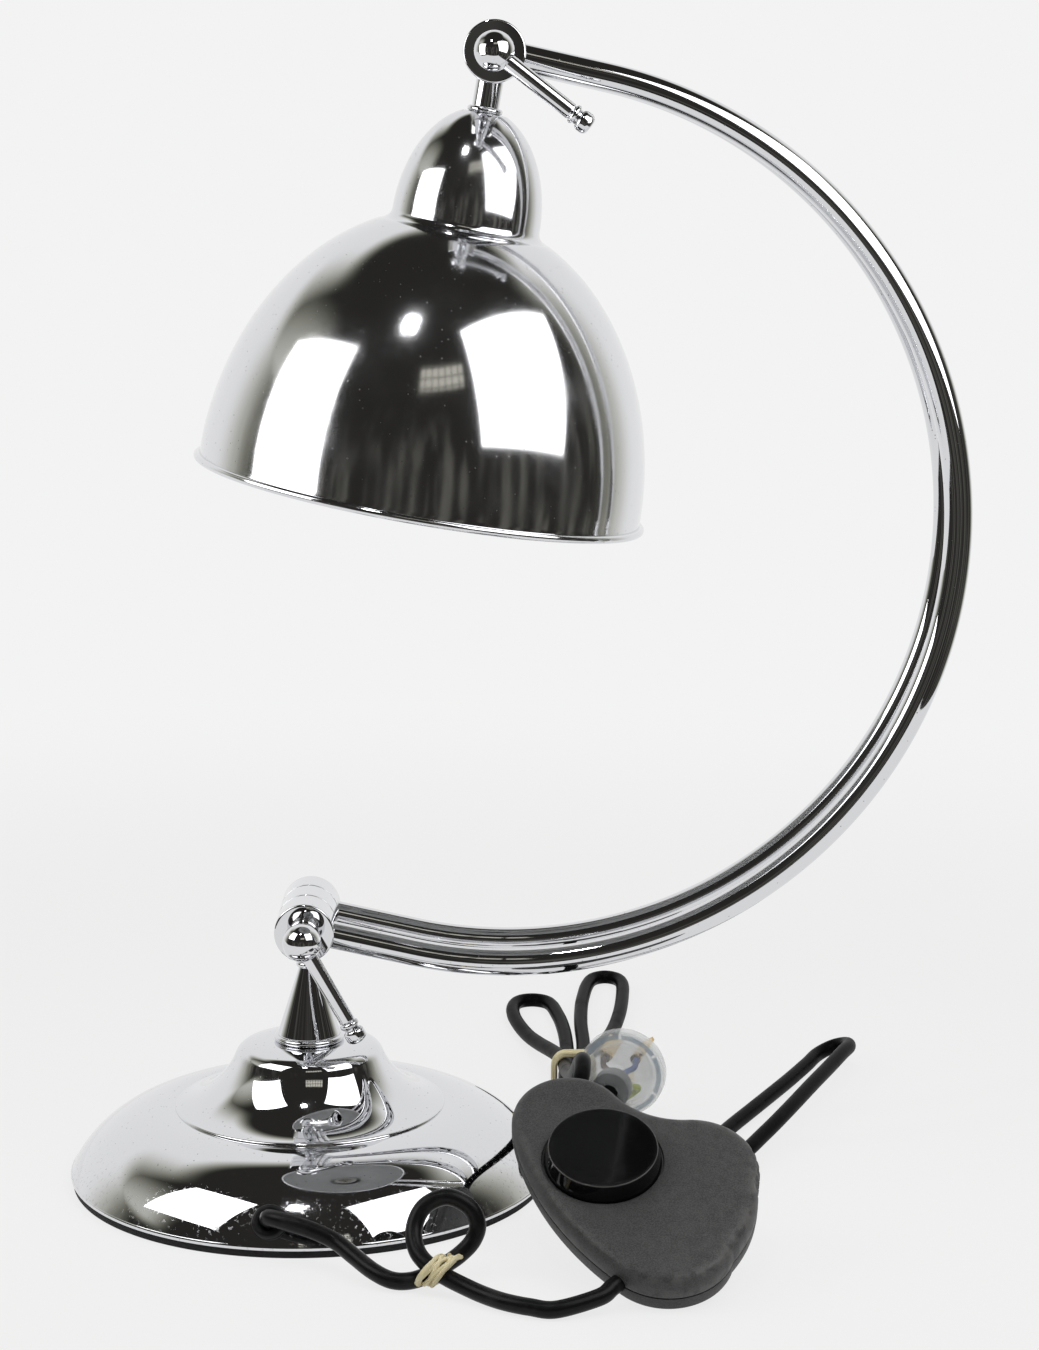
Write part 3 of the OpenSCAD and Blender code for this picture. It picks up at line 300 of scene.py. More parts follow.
# Grommet: a black rubber ring snapped into a hole low on the front of the base, where the cord
# comes out. Its lip is round and stands proud of the plate.
grommet_turn, grommet_at, grommet_hole, grommet_depth, cord_radius = -96.0, 90.6, 5.0, 4.0, 3.2
grommet_bore, back_radius, back_front, bead_at, bead_radius = 3.24, 6.1, -1.7, 5.4, 1.3
grommet_rise = math.degrees(math.acos((grommet_at - dome_centre[0]) / dome_radius))
grommet_height = dome_centre[1] + dome_radius * math.sin(math.radians(grommet_rise))
grommet_place = (Matrix.Rotation(math.radians(grommet_turn), 4, "Z")
                 @ Matrix.Translation((grommet_at, 0, grommet_height))
                 @ Matrix.Rotation(math.radians(90 - grommet_rise), 4, "Y"))
cutter = piece("grommet_cutter", turned([(0, -grommet_depth), (grommet_hole, -grommet_depth),
                                         (grommet_hole, grommet_depth), (0, grommet_depth)], 48),
               grommet_place, base_chrome, "base", [])
hole = base_bell.modifiers.new("hole", "BOOLEAN")
hole.operation, hole.object, hole.solver = "DIFFERENCE", cutter, "EXACT"
holed = bpy.data.meshes.new_from_object(base_bell.evaluated_get(bpy.context.evaluated_depsgraph_get()))
base_bell.modifiers.clear()
base_bell.data = holed
bpy.data.objects.remove(cutter)


def black_rubber(name, tone, gloss, grain, shine=0.25):
    """Dense rubber or soft plastic: nearly black, with scuffs that show a little greyer."""
    made, place = open_finish(name)
    scuffs = smooth_step(cloud(place, 9, 7.0), 0.50, 0.72)
    skin = cloud(place, 0.35, 2.0)
    greyer = tone * 2.4
    return close_finish(made, place, {
        "Base Color": mix_colour(scuffs, (tone, tone, tone * 1.05, 1), (greyer, greyer, greyer, 1)),
        "Roughness": gloss + 0.14 * scuffs + 0.05 * skin, "Specular IOR Level": shine,
        "Normal": bump(skin, grain, 0.6)})


grommet_rubber = black_rubber("black_rubber", tone=0.007, gloss=0.38, grain=0.015)
grommet_outline = ([(grommet_bore, -grommet_depth), (back_radius, -grommet_depth), (back_radius, back_front),
                    (grommet_hole, back_front), (grommet_hole, 0)]
                   + arc((bead_at, bead_radius), bead_radius, -90, 100, 16)
                   + [(4.3, 2.45), (3.5, 1.9), (grommet_bore, 1.2)])
piece("grommet_ring", turned(grommet_outline, 96),
      grommet_place, grommet_rubber, "base", ["grommet"])

# Cone: one bar of brass, turned to a cone with a thin round foot, a ring and a short neck, then
# chromed. It is screwed down on the base by the stem tube.
foot_radius, foot_low, foot_high = 14.0, 56.0, 58.6
cone_radius, cone_tip, cone_top = 12.8, 3.8, 85.95
ring_radius, ring_half, neck_radius, neck_top = 4.9, 1.3, 3.6, 90.55
foot_half = (foot_high - foot_low) / 2
fine_chrome = chrome_plate("chrome_turned", pit_share=0.015, haze=0.02)
cone_outline = ([(seat_hole, foot_low)]
                + arc((foot_radius - foot_half, foot_low + foot_half), foot_half, -90, 76, 20)
                + [(cone_radius - 0.3, foot_high - 0.05), (cone_radius - 0.25, foot_high + 0.3)]
                + [(cone_tip, cone_top)]
                + arc((ring_radius - ring_half, cone_top + ring_half), ring_half, -90, 90, 16)
                + [(neck_radius, cone_top + 2 * ring_half), (neck_radius, neck_top), (seat_hole, neck_top)])
piece("cone_turned", turned(cone_outline, 128), upright, fine_chrome, "base", ["cone"])

# Knuckles: each is three short chromed barrels on one clamp bolt. The middle barrel is the hub, the
# outer two each hold an arm tube, and brown fibre washers between them give the grip.
barrel_radius, hub_half, barrel_in, barrel_out = 11.75, 7.55, 8.15, 23.25
crisp_edge, round_edge, bolt_hole, head_radius, head_high, boss_top = 0.25, 0.8, 3.05, 6.5, 2.45, 97.0
lower_knuckle, upper_knuckle = Vector((0, 0, 105.6)), Vector((74.888, 0, 443.398))
along_y = Matrix.Rotation(math.radians(-90), 4, "X")

fibre, place = open_finish("pressed_fibre")
flecks = cloud(place, 0.8, 4.0)
fibre = close_finish(fibre, place, {
    "Base Color": mix_colour(flecks, (0.035, 0.020, 0.013, 1), (0.10, 0.06, 0.035, 1)),
    "Roughness": 0.7 + 0.2 * flecks, "Normal": bump(flecks, 0.1)})
refinish(["lower_friction_washers", "upper_friction_washers"], fibre)


def barrel(low, high, low_edge, high_edge):
    """Outline of a barrel with a round edge at each end."""
    return ([(bolt_hole, low), (barrel_radius - low_edge, low)]
            + arc((barrel_radius - low_edge, low + low_edge), low_edge, -90, 0, 6)
            + arc((barrel_radius - high_edge, high - high_edge), high_edge, 0, 90, 6)
            + [(bolt_hole, high)])


bolt_head = ([(0, barrel_out), (head_radius, barrel_out)] + arc((4.7, barrel_out + 0.6), 1.8, 0, 84, 10)
             + [(0, barrel_out + head_high)])
for level, centre, hub_body in (("lower", lower_knuckle, "base"), ("upper", upper_knuckle, "shade")):
    at_knuckle = Matrix.Translation(centre) @ along_y
    for part, node, body, *ends in (
            ("_hub_barrel", "_hub", hub_body, -hub_half, hub_half, crisp_edge, crisp_edge),
            ("_front_barrel", "_front_segment", "arm", -barrel_out, -barrel_in, round_edge, crisp_edge),
            ("_rear_barrel", "_rear_segment", "arm", barrel_in, barrel_out, crisp_edge, round_edge)):
        piece(level + part, turned(barrel(*ends), 128),
              at_knuckle, fine_chrome, body, [level + node])
    piece(level + "_bolt_head", turned(bolt_head, 96),
          at_knuckle, fine_chrome, "arm", [level + "_bolt"])
hub_boss = [(0, neck_top), (neck_radius, neck_top), (neck_radius, boss_top), (0, boss_top)]
piece("lower_hub_boss", turned(hub_boss, 96), upright, fine_chrome, "base", [])

# Clamp levers: a chromed ball on a ringed neck screws on the bolt's end and pinches the three
# barrels together. A slim rod with a bead and a small end knob is screwed into the ball.
ball_radius, ball_out, neck_from, ball_from = 7.5, 36.15, 23.3, -52.17
rod_radius, rod_start, bead_from, waist_radius = 3.1, 6.2, 35.6, 2.9
neck_rings = ([(0, neck_from), (5.75, neck_from)] + arc((5.75, 23.55), 0.25, -90, 0, 4)
              + arc((5.6, 24.9), 0.4, 0, 60, 4) + [(5.2, 25.7), (5.2, 26.3)]
              + arc((5.3, 26.9), 0.4, -60, 0, 4) + arc((5.2, 27.9), 0.5, 0, 55, 5)
              + [(4.6, 29.4), (4.6, 30.2)])
ball_arc = arc((0, ball_out), ball_radius, ball_from, 90, 48)
lever_rod = ([(0, rod_start), (rod_radius, rod_start), (rod_radius, bead_from), (rod_radius - 0.15, 36.0)]
             + arc((rod_radius - 0.4, 37.4), 1.1, -90, 90, 14) + [(waist_radius, 38.7), (waist_radius, 39.4)]
             + arc((2.3, 41.2), 1.8, -90, 0, 10) + arc((1.9, 42.75), 2.2, 0, 90, 14))
for level, centre, slope in (("lower", lower_knuckle, 61), ("upper", upper_knuckle, 38)):
    outward = Matrix.Translation(centre) @ Matrix.Rotation(math.radians(90), 4, "X")
    piece(level + "_ball", turned(neck_rings + ball_arc, 128), outward, fine_chrome,
          level + "_lever", [level + "_lever_ball"])
    along_rod = (Matrix.Translation(centre + Vector((0, -ball_out, 0)))
                 @ Matrix.Rotation(math.radians(90 + slope), 4, "Y"))
    piece(level + "_rod", turned(lever_rod, 96), along_rod, fine_chrome,
          level + "_lever", [level + "_lever_rod"])

# Arm: two chromed steel tubes, bent side by side to one half-round bow with straight ends, which
# are pressed into the outer barrels of both knuckles.
tube_radius, tube_aside, bow_radius = 5.4, 15.7, 173.0
leg_start, leg_end, arm_slope = 4.6, 43.0, 12.5


def swept(line, radius, sides):
    """Points and faces of a round tube along a line of points, with flat ends."""
    line, askew = np.array(line, float), (0.31, 0.87, 0.39)
    way = np.gradient(line, axis=0)
    way /= np.linalg.norm(way, axis=1)[:, None]
    side = np.cross(way[0], askew)
    turns = np.arange(sides) * 2 * math.pi / sides
    points = []
    for spot, ahead in zip(line, way):
        side = side - ahead * side.dot(ahead)
        side /= np.linalg.norm(side)
        ring = np.outer(np.cos(turns), side) + np.outer(np.sin(turns), np.cross(ahead, side))
        points.append(spot + radius * ring)
    count = len(line)
    ends = [tuple(range(sides)), tuple(range((count - 1) * sides, count * sides))]
    return np.concatenate(points), between(count, sides) + ends


along_arm = Matrix.Translation(lower_knuckle) @ Matrix.Rotation(math.radians(arm_slope), 4, "Y")
bow = ([(x, 0) for x in np.linspace(leg_start, leg_end, 8)[:-1]]
       + arc((leg_end, bow_radius), bow_radius, -90, 90, 200)
       + [(x, 2 * bow_radius) for x in np.linspace(leg_end, leg_start, 8)[1:]])
tube_chrome = chrome_plate("chrome_tube", pit_share=0.03, haze=0.03)
for side_name, aside in (("front", -tube_aside), ("rear", tube_aside)):
    piece(side_name + "_arm_tube", swept([(x, aside, z) for x, z in bow], tube_radius, 72),
          along_arm, tube_chrome, "arm", [side_name + "_tube"])

# Shade: a dome with a bottle neck, spun in one piece from steel sheet with a rolled rim. It is chromed
# outside, with faint lathe lines and a softer shine than the base, and painted light grey inside.
shade_tilt, shade_sheet, nipple_hole, inner_hole = 10.0, 0.9, 4.05, 5.0
neck_width, neck_height, neck_foot, shade_top = 28.5, 43.0, 64.0, 23.0
mouth_radius, dome_depth, mouth_at, fillet = 86.2, 108.0, 168.0, 4.6
rim_centre, rim_radius = (86.8, -169.1), 1.5
under_knuckle = Matrix.Translation(upper_knuckle) @ Matrix.Rotation(math.radians(shade_tilt), 4, "Y")
dome_start = math.acos((neck_width + fillet) / mouth_radius)
dome_high = mouth_at - dome_depth * math.sin(dome_start)
neck_turns = np.linspace(math.asin((neck_foot - shade_top) / neck_height), 0, 40)
dome_turns = np.linspace(dome_start, 0.005, 90)
blend_from, blend_to = np.array((neck_width, dome_high - fillet)), np.array((neck_width + fillet, dome_high))
blend_knee = np.array((neck_width, dome_high - 1.2))
blend = [tuple((1 - t) ** 2 * blend_from + 2 * t * (1 - t) * blend_knee + t * t * blend_to)
         for t in np.linspace(0, 1, 12)[1:-1]]
shade_line = ([(nipple_hole, shade_top)]
              + [(neck_width * math.cos(a), neck_foot - neck_height * math.sin(a)) for a in neck_turns]
              + blend
              + [(mouth_radius * math.cos(a), mouth_at - dome_depth * math.sin(a)) for a in dome_turns])
outside, inside = sheet(shade_line, shade_sheet)
rolled_rim = arc(rim_centre, rim_radius, 112, -182, 30)
shade_outline = ([(r, -t) for r, t in outside] + rolled_rim
                 + [(r, -t) for r, t in inside if r > inner_hole])
shade_chrome = chrome_plate("chrome_shade", pit_share=0.04, haze=0.06, spun=0.004, satin=0.085)
spun_shade = piece("shade_spun", turned(shade_outline, 288),
                   under_knuckle, shade_chrome, "shade", ["shade"], sharp=40)

paint, place = open_finish("grey_paint")
mottle = cloud(place, 14, 4.0)
paint = close_finish(paint, place, {
    "Base Color": mix_colour(mottle, (0.55, 0.56, 0.56, 1), (0.66, 0.67, 0.67, 1)),
    "Roughness": 0.42 + 0.15 * mottle, "Normal": bump(cloud(place, 0.9, 3.0), 0.02, 0.5)})
spun_shade.data.materials.append(paint)
from_axis = under_knuckle.inverted()
ceiling_high, ceiling_low, paint_end = -shade_top - 0.5, -40, 0.4 - mouth_at
for face in spun_shade.data.polygons:
    spot = from_axis @ (face.center / MM)
    facing = from_axis.to_3x3() @ face.normal
    under_top = ceiling_low < spot.z < ceiling_high and facing.z < 0
    inward = spot.x * facing.x + spot.y * facing.y < 0
    if (inward or under_top) and spot.z > paint_end:
        face.material_index = 1

# Shade stem, collar and fixings: a chromed stem screws into the upper hub, a round collar sits on
# the shade, and a threaded brass tube with a nut inside draws it all together.
stem_radius, stem_from, collar_from, collar_radius = 5.2, -9.55, -20.6, 6.8
collar_half = 1.2
stem_outline = [(nipple_hole, stem_from), (stem_radius, stem_from), (stem_radius, collar_from),
                (nipple_hole, collar_from)]
collar_outline = ([(nipple_hole, -shade_top)]
                  + arc((collar_radius - collar_half, -shade_top + collar_half), collar_half, -90, 90, 16)
                  + [(nipple_hole, collar_from)])
piece("shade_stem_turned", turned(stem_outline, 96),
      under_knuckle, fine_chrome, "shade", ["shade_stem"])
piece("shade_collar_turned", turned(collar_outline, 96),
      under_knuckle, fine_chrome, "shade", ["shade_collar"])

brass, place = open_finish("brass")
tarnish = smooth_step(cloud(place, 5, 5.0), 0.4, 0.7)
brass = close_finish(brass, place, {
    "Base Color": mix_colour(tarnish, (0.74, 0.55, 0.24, 1), (0.52, 0.36, 0.15, 1)),
    "Metallic": 1.0, "Roughness": 0.16 + 0.22 * tarnish})
refinish(["shade_nipple", "holder_contact", "plug_pins"], brass)
refinish(["shade_nut"], zinc)

# Lamp holder: a white moulded cup on the brass tube, with a ribbed black clamp ring, and a rolled
# steel screw shell inside. It has no lamp in it.
cup_top, cup_radius, cup_end, cup_bore, cup_floor, cup_step = -34, 19.5, -81, 13.85, -49.5, -46.5
ring_bore, ring_high, ring_low, rib_radius, rib_depth = 19.55, -65, -74, 22.5, 0.012
shell_top, shell_end, shell_radius, shell_sides = -49.6, -79.5, 13.25, 96
thread_pitch, thread_depth = 3.6, 0.5
white_moulding, place = open_finish("white_moulding")
flow = cloud(place, 7, 3.0)
white_moulding = close_finish(white_moulding, place, {
    "Base Color": mix_colour(flow, (0.74, 0.73, 0.69, 1), (0.80, 0.79, 0.76, 1)),
    "Roughness": 0.28 + 0.14 * flow})
cup_outline = ([(nipple_hole, cup_top), (13.5, cup_top)] + arc((14.5, -40.0), 3.5, 90, 20, 6)
               + [(19.2, -44.0), (cup_radius, -45.5), (cup_radius, -80.6)]
               + arc((cup_radius - 0.4, -80.6), 0.4, 0, -90, 3)
               + [(cup_bore, cup_end), (cup_bore, cup_floor), (7.5, cup_floor), (7.5, cup_step),
                  (nipple_hole, cup_step)])
piece("holder_cup", turned(cup_outline, 128),
      under_knuckle, white_moulding, "shade", ["holder_body"])

black_moulding = black_rubber("black_moulding", tone=0.009, gloss=0.26, grain=0.01)
ring_outline = [(ring_bore, ring_high), (22.3, ring_high), (22.8, -65.4), (23, -66), (23, -68.6),
                (22.6, -69.4), (21.5, -70), (21.5, ring_low), (ring_bore, ring_low)]
ring_points, ring_faces = turned(ring_outline, 240)
ribbed = np.hypot(ring_points[:, 0], ring_points[:, 1]) > rib_radius
groove = np.arange(len(ring_points)) % 6 < 2
ring_points[ribbed, :2] *= (1 - rib_depth * groove)[ribbed, None]
piece("holder_ring_ribbed", (ring_points, ring_faces),
      under_knuckle, black_moulding, "shade", ["holder_ring"])

rows = np.linspace(shell_end, shell_top, 121)
shares = np.arange(shell_sides) / shell_sides
turns = np.arange(shell_sides) * 2 * math.pi / shell_sides
wave = 0.5 + 0.5 * np.cos(2 * math.pi * (rows[:, None] / thread_pitch + shares[None]))
reach = shell_radius + thread_depth * wave
shell = np.stack([reach * np.cos(turns), reach * np.sin(turns), rows[:, None] + 0 * turns], -1)
piece("holder_shell_rolled", (shell.reshape(-1, 3), between(len(rows), shell_sides)),
      under_knuckle, zinc, "shade", ["holder_screw_shell"])

# Foot dimmer: two dark grey mouldings meet at a parting line, the upper with a round well for the
# knob and grip flutes along one lobe. It lies on its cord, tilted towards the front.
house_at, house_slope = Vector((129.4, -138.5, 2.4)), 25.5
rear_lobe, rear_radius = np.array((-26.5, 78.0)), 21.8
side_lobe, side_radius = np.array((19.0, 52.0)), 25.0
front_lobe, front_radius = np.array((8.0, 17.5)), 25.0
hollow_radius, long_radius, parting = 30.0, 130.0, 7.0
knob_centre, well_radius, well_floor = np.array((-14.5, 53.0)), 22.7, 15.0
flute_count, flute_radius, flute_depth, flute_step = 6, 3.0, 0.7, 9.0
flute_from, flute_top, flute_fade, flute_zone = -8.0, 14.8, 1.6, 6
in_house = Matrix.Translation(house_at) @ Matrix.Rotation(math.radians(house_slope), 4, "X")
hollow_centre = two_reach(rear_lobe, rear_radius + hollow_radius, side_lobe, side_radius + hollow_radius, 1)
long_centre = two_reach(rear_lobe, long_radius - rear_radius, front_lobe, long_radius - front_radius, 1)
right_turn = bearing(front_lobe, side_lobe) - 90
house_turns = np.linspace(0, 2 * math.pi, 1440, endpoint=False)
house_ways = np.column_stack([np.cos(house_turns), np.sin(house_turns)])


def house_reach(inset):
    """Distance from the knob's centre to the outline moved in by inset, for each turn."""
    rear_turn, front_turn = bearing(long_centre, rear_lobe) + 360, bearing(long_centre, front_lobe) + 360
    line = np.array(
        arc(front_lobe, front_radius - inset, front_turn, right_turn + 360, 400)
        + arc(side_lobe, side_radius - inset, right_turn, bearing(side_lobe, hollow_centre), 400)
        + arc(hollow_centre, hollow_radius + inset, bearing(hollow_centre, side_lobe) + 360,
              bearing(hollow_centre, rear_lobe) + 360, 200)
        + arc(rear_lobe, rear_radius - inset, bearing(rear_lobe, hollow_centre), rear_turn, 400)
        + arc(long_centre, long_radius - inset, rear_turn, front_turn, 400)) - knob_centre
    turn, reach = np.arctan2(line[:, 1], line[:, 0]) % (2 * math.pi), np.hypot(line[:, 0], line[:, 1])
    order = np.argsort(turn)
    return np.interp(house_turns, turn[order], reach[order], period=2 * math.pi)


def house_row(inset, height, least=0.0):
    """A row of points round the housing. None comes nearer the knob's centre than least."""
    reach = np.maximum(house_reach(inset), least)
    row = knob_centre + reach[:, None] * house_ways
    from_side = row - side_lobe
    turn, far = np.degrees(np.arctan2(from_side[:, 1], from_side[:, 0])), np.hypot(*from_side.T)
    fade = np.clip((flute_top - height) / flute_fade, 0, 1)
    for i in range(flute_count):
        off = np.radians((turn - right_turn - flute_from - i * flute_step + 180) % 360 - 180) * side_radius
        bite = np.sqrt(np.maximum(flute_radius ** 2 - off ** 2, 0)) - (flute_radius - flute_depth)
        bite = np.where(far > side_radius - flute_zone, np.maximum(bite, 0) * fade, 0)
        row = row - from_side / np.maximum(far, 1)[:, None] * bite[:, None]
    return np.column_stack([row, np.broadcast_to(height, len(row))])


def house_skin(rows):
    """Points and faces of a closed skin over rows of points, flat over its first and last row."""
    count = len(house_turns)
    points, faces = np.concatenate(rows), between(len(rows), count)
    for row in (0, len(rows) - 1):
        points = np.vstack([points, [*knob_centre, rows[row][0][2]]])
        faces += [(row * count + j, row * count + (j + 1) % count, len(points) - 1) for j in range(count)]
    return points, faces


low_levels = [(0, 2.4), (0.1, 1.9), (0.3, 1.45), (0.6, 1.0), (1.1, 0.6), (1.8, 0.3), (4, 0.08), (6.3, 0),
              (6.45, 0.06), (6.5, 0.2), (6.5, 0.6), (parting, 0.6)]
low_rows = [house_row(inset, height) for height, inset in low_levels]
edge_insets = np.array([0, 0.06, 0.4, 0.75, 1.2, 1.7, 2.2, 2.8, 3.4, 4.2, 5.2, 6.4])
edge_heights = np.array([9, 10.5, 12, 13.15, 14, 14.62, 15.0, 15.34, 15.58, 15.8, 15.95, 16])
well_edge, nowhere = well_radius + 0.35, 99
reaches = np.array([house_reach(inset) for inset in edge_insets])
well_inset = np.array([np.interp(-well_edge, -reach, edge_insets, right=nowhere) for reach in reaches.T])
well_top = np.interp(well_inset, edge_insets, edge_heights)
high_rows = [house_row(0.6, parting), house_row(0.2, parting), house_row(0.06, 7.06), house_row(0, 7.2)]
for inset, height in zip(edge_insets, edge_heights):
    high_rows.append(house_row(inset, np.where(inset < well_inset, height, well_top), well_edge))
for radius, drop in ((well_edge, 0), (well_radius + 0.1, 0.08), (well_radius, 0.3), (well_radius, 0.7)):
    high_rows.append(np.column_stack([knob_centre + radius * house_ways,
                                      np.maximum(well_top - drop, well_floor)]))
high_rows.append(np.column_stack([knob_centre + (well_radius - 0.25) * house_ways,
                                  np.full(len(house_turns), well_floor)]))

dimmer_grey, place = open_finish("dimmer_grey")
grain = cloud(place, 0.48, 1.0)
handled = smooth_step(cloud(place, 18, 6.0), 0.48, 0.74)
dust = smooth_step(cloud(place, 1.3, 3.0), 0.68, 0.76)
worn = place.node("Attribute", {"attribute_name": "worn"}, {}, "Fac")
scraped = worn * smooth_step(cloud(place, 4, 6.0), 0.36, 0.62)
plain_grey = mix_colour(smooth_step(grain, 0.3, 0.7), (0.027, 0.027, 0.028, 1), (0.068, 0.068, 0.068, 1))
rubbed = mix_colour(handled * 0.14 + dust * 0.3, plain_grey, (0.125, 0.123, 0.12, 1))
dimmer_grey = close_finish(dimmer_grey, place, {
    "Base Color": mix_colour(scraped * 0.5, rubbed, (0.18, 0.175, 0.17, 1)),
    "Roughness": 0.48 + 0.14 * grain + 0.08 * handled - 0.1 * scraped,
    "Normal": bump(grain, 0.12, 0.7)})
dimmer_low = piece("dimmer_lower_case", house_skin(low_rows),
                   in_house, dimmer_grey, "base", ["dimmer_base"], sharp=40)
dimmer_high = piece("dimmer_upper_case", house_skin(high_rows),
                    in_house, dimmer_grey, "base", ["dimmer_cover"], sharp=40)


def rub(made, place, share):
    """Keeps on each point of a piece a share from 0 to 1, by its place in millimetres: how far it is worn,
    and on the knob's lip also a painted highlight.
    """
    back = place.inverted()
    spots = np.array([back @ (v.co / MM) for v in made.data.vertices])
    worn = made.data.attributes.new("worn", "FLOAT", "POINT")
    worn.data.foreach_set("value", share(*spots.T).astype(np.float32))


def case_wear(x, y, z):
    edge_height, side_height = 14.6, 9.0
    rim = np.exp(-((z - edge_height) / 1.1) ** 2) + 0.7 * np.exp(-((z - side_height) / 3.0) ** 2)
    flank = np.hypot(x - side_lobe[0], y - side_lobe[1]) > side_radius - 7
    return np.clip(rim, 0, 1) * (0.35 + 0.65 * flank * np.clip((x + 5) / 20, 0, 1))


for case in (dimmer_low, dimmer_high):
    rub(case, in_house, case_wear)

board, place = open_finish("lacquered_board")
lacquer = cloud(place, 3, 4.0)
board = close_finish(board, place, {
    "Base Color": mix_colour(lacquer, (0.03, 0.10, 0.045, 1), (0.06, 0.17, 0.08, 1)),
    "Roughness": 0.35 + 0.2 * lacquer})
refinish(["dimmer_board"], board)
refinish(["dimmer_control", "dimmer_screws"], zinc)

# Dimmer knob: a polished black disc with a sloped side, pressed on the control's shaft. Its upper
# edge is lighter all round: partly rubbed by shoes, partly a painted highlight.
knob_low, knob_foot, knob_top, knob_high, foot_edge = 15.3, 22.1, 20.4, 22.4, 0.2
knob_gloss, place = open_finish("black_gloss")
stroked = place.node("Mapping", {}, {"Vector": place, "Scale": (0.35, 2.2, 1)})
marks = smooth_step(cloud(stroked, 2.4, 9.0), 0.60, 0.74)
worn = place.node("Attribute", {"attribute_name": "worn"}, {}, "Fac")
# The lighter colour where worn is high is wear on the lip and also a painted highlight there.
knob_gloss = close_finish(knob_gloss, place, {
    "Base Color": mix_colour(worn, (0.0035, 0.0035, 0.004, 1), (0.10, 0.098, 0.095, 1)),
    "Roughness": 0.06 + 0.10 * marks + 0.2 * worn, "Specular IOR Level": 0.32})
knob_outline = ([(0, knob_low), (knob_foot - foot_edge, knob_low)]
                + arc((knob_foot - foot_edge, knob_low + foot_edge), foot_edge, -90, 10, 6)
                + [(21.35, 18.4)] + arc((knob_top - 0.45, knob_high - 0.5), 0.5, 12, 90, 8)
                + [(knob_top - 1.6, knob_high - 0.06), (12, knob_high - 0.12), (0, knob_high - 0.16)])
knob_place = in_house @ Matrix.Translation((*knob_centre, 0))
dimmer_knob = piece("dimmer_knob_disc", turned(knob_outline, 192), knob_place, knob_gloss,
                    "dimmer_knob", ["dimmer_knob"], sharp=40)


def knob_lip_wear_and_highlight(x, y, z):
    lip_reach, lip_height = 20.3, 22.25
    return np.exp(-((np.hypot(x, y) - lip_reach) / 0.22) ** 2 - ((z - lip_height) / 0.25) ** 2)


rub(dimmer_knob, knob_place, knob_lip_wear_and_highlight)

# Lamp cord: round black flexible cord from the grommet to the dimmer, which drops to the table,
# turns a small standing loop and runs on flat. It enters the front lobe at the parting line.
def smooth_line(stops, steps):
    """Points of a smooth curve that passes through every stop."""
    stops = np.array(stops, float)
    padded = np.vstack([stops[:1], stops, stops[-1:]])
    line = []
    for a, b, c, d in zip(padded, padded[1:], padded[2:], padded[3:]):
        for t in np.arange(steps) / steps:
            line.append(0.5 * (2 * b + (c - a) * t + (2 * a - 5 * b + 4 * c - d) * t ** 2
                               + (3 * b - a - 3 * c + d) * t ** 3))
    return np.array(line + [stops[-1]])


def cord_piece(name, line, finish, replaced):
    curve = bpy.data.curves.new(name, "CURVE")
    curve.dimensions = "3D"
    curve.bevel_depth = cord_radius * MM
    curve.bevel_resolution = 8
    curve.use_fill_caps = True
    spline = curve.splines.new("POLY")
    spline.points.add(len(line) - 1)
    for point, spot in zip(spline.points, line):
        point.co = (*(Vector(spot) * MM), 1)
    curve.materials.append(finish)
    made = bpy.data.objects.new(name, curve)
    bpy.context.scene.collection.objects.link(made)
    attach(made, "base")
    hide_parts(replaced)
    return made


def house_entry(lobe, radius, turn, out):
    """A point on the parting line's level, that far out from a lobe's side."""
    turn, reach = math.radians(turn), radius + out
    return in_house @ Vector((lobe[0] + reach * math.cos(turn), lobe[1] + reach * math.sin(turn), parting))


cord_black = black_rubber("cord_black", tone=0.0075, gloss=0.30, grain=0.006, shine=0.16)
lamp_entry = 224
lamp_stops = [grommet_place @ Vector((0, 0, out)) for out in (-3.5, 0.5, 4.5)] + [
    (-8.4, -98.4, 17.2), (-1.6, -102.6, 17), (8, -104.4, 14.4), (16, -106.6, 11.2), (23.4, -113.6, 8),
    (30.4, -121.6, 5.6), (37.2, -126.2, 3.9), (43.6, -126, 3.4), (49.8, -121.8, 3.7), (56, -117.6, 5.8),
    (62.4, -114.6, 9.4), (67, -112.6, 14), (68.6, -111.3, 19.8), (65.2, -110, 26), (57.2, -109.5, 29.5),
    (49, -111, 26.2), (45.4, -115.5, 19.4), (46.6, -121.5, 13.4), (51, -126.9, 9.8), (57, -130.6, 7),
    (64, -135, 5), (71, -140.2, 3.8), (78.5, -145.8, 3.4), (87.5, -150.6, 3.4), (97, -153, 3.4)
] + [house_entry(front_lobe, front_radius, lamp_entry, out) for out in (10, 3, -4)]
lamp_line = smooth_line(lamp_stops, 16)
lamp_cord = cord_piece("lamp_cord_run", lamp_line, cord_black, "lamp_cord")

# Rubber bands: thin round strands of tan rubber, wound several times. One holds the loop of the
# lamp cord together, and the other the hank of the mains cord.
tan_rubber, place = open_finish("tan_rubber")
powder = cloud(place, 1.2, 5.0)
aged = smooth_step(cloud(place, 6, 3.0), 0.4, 0.7)
tan_tone = mix_colour(aged, (0.76, 0.65, 0.36, 1), (0.84, 0.76, 0.50, 1))
tan_rubber = close_finish(tan_rubber, place, {
    "Base Color": mix_colour(powder * 0.5, tan_tone, (0.88, 0.83, 0.62, 1)),
    "Roughness": 0.52 + 0.25 * powder, "Normal": bump(powder, 0.08, 0.7)})


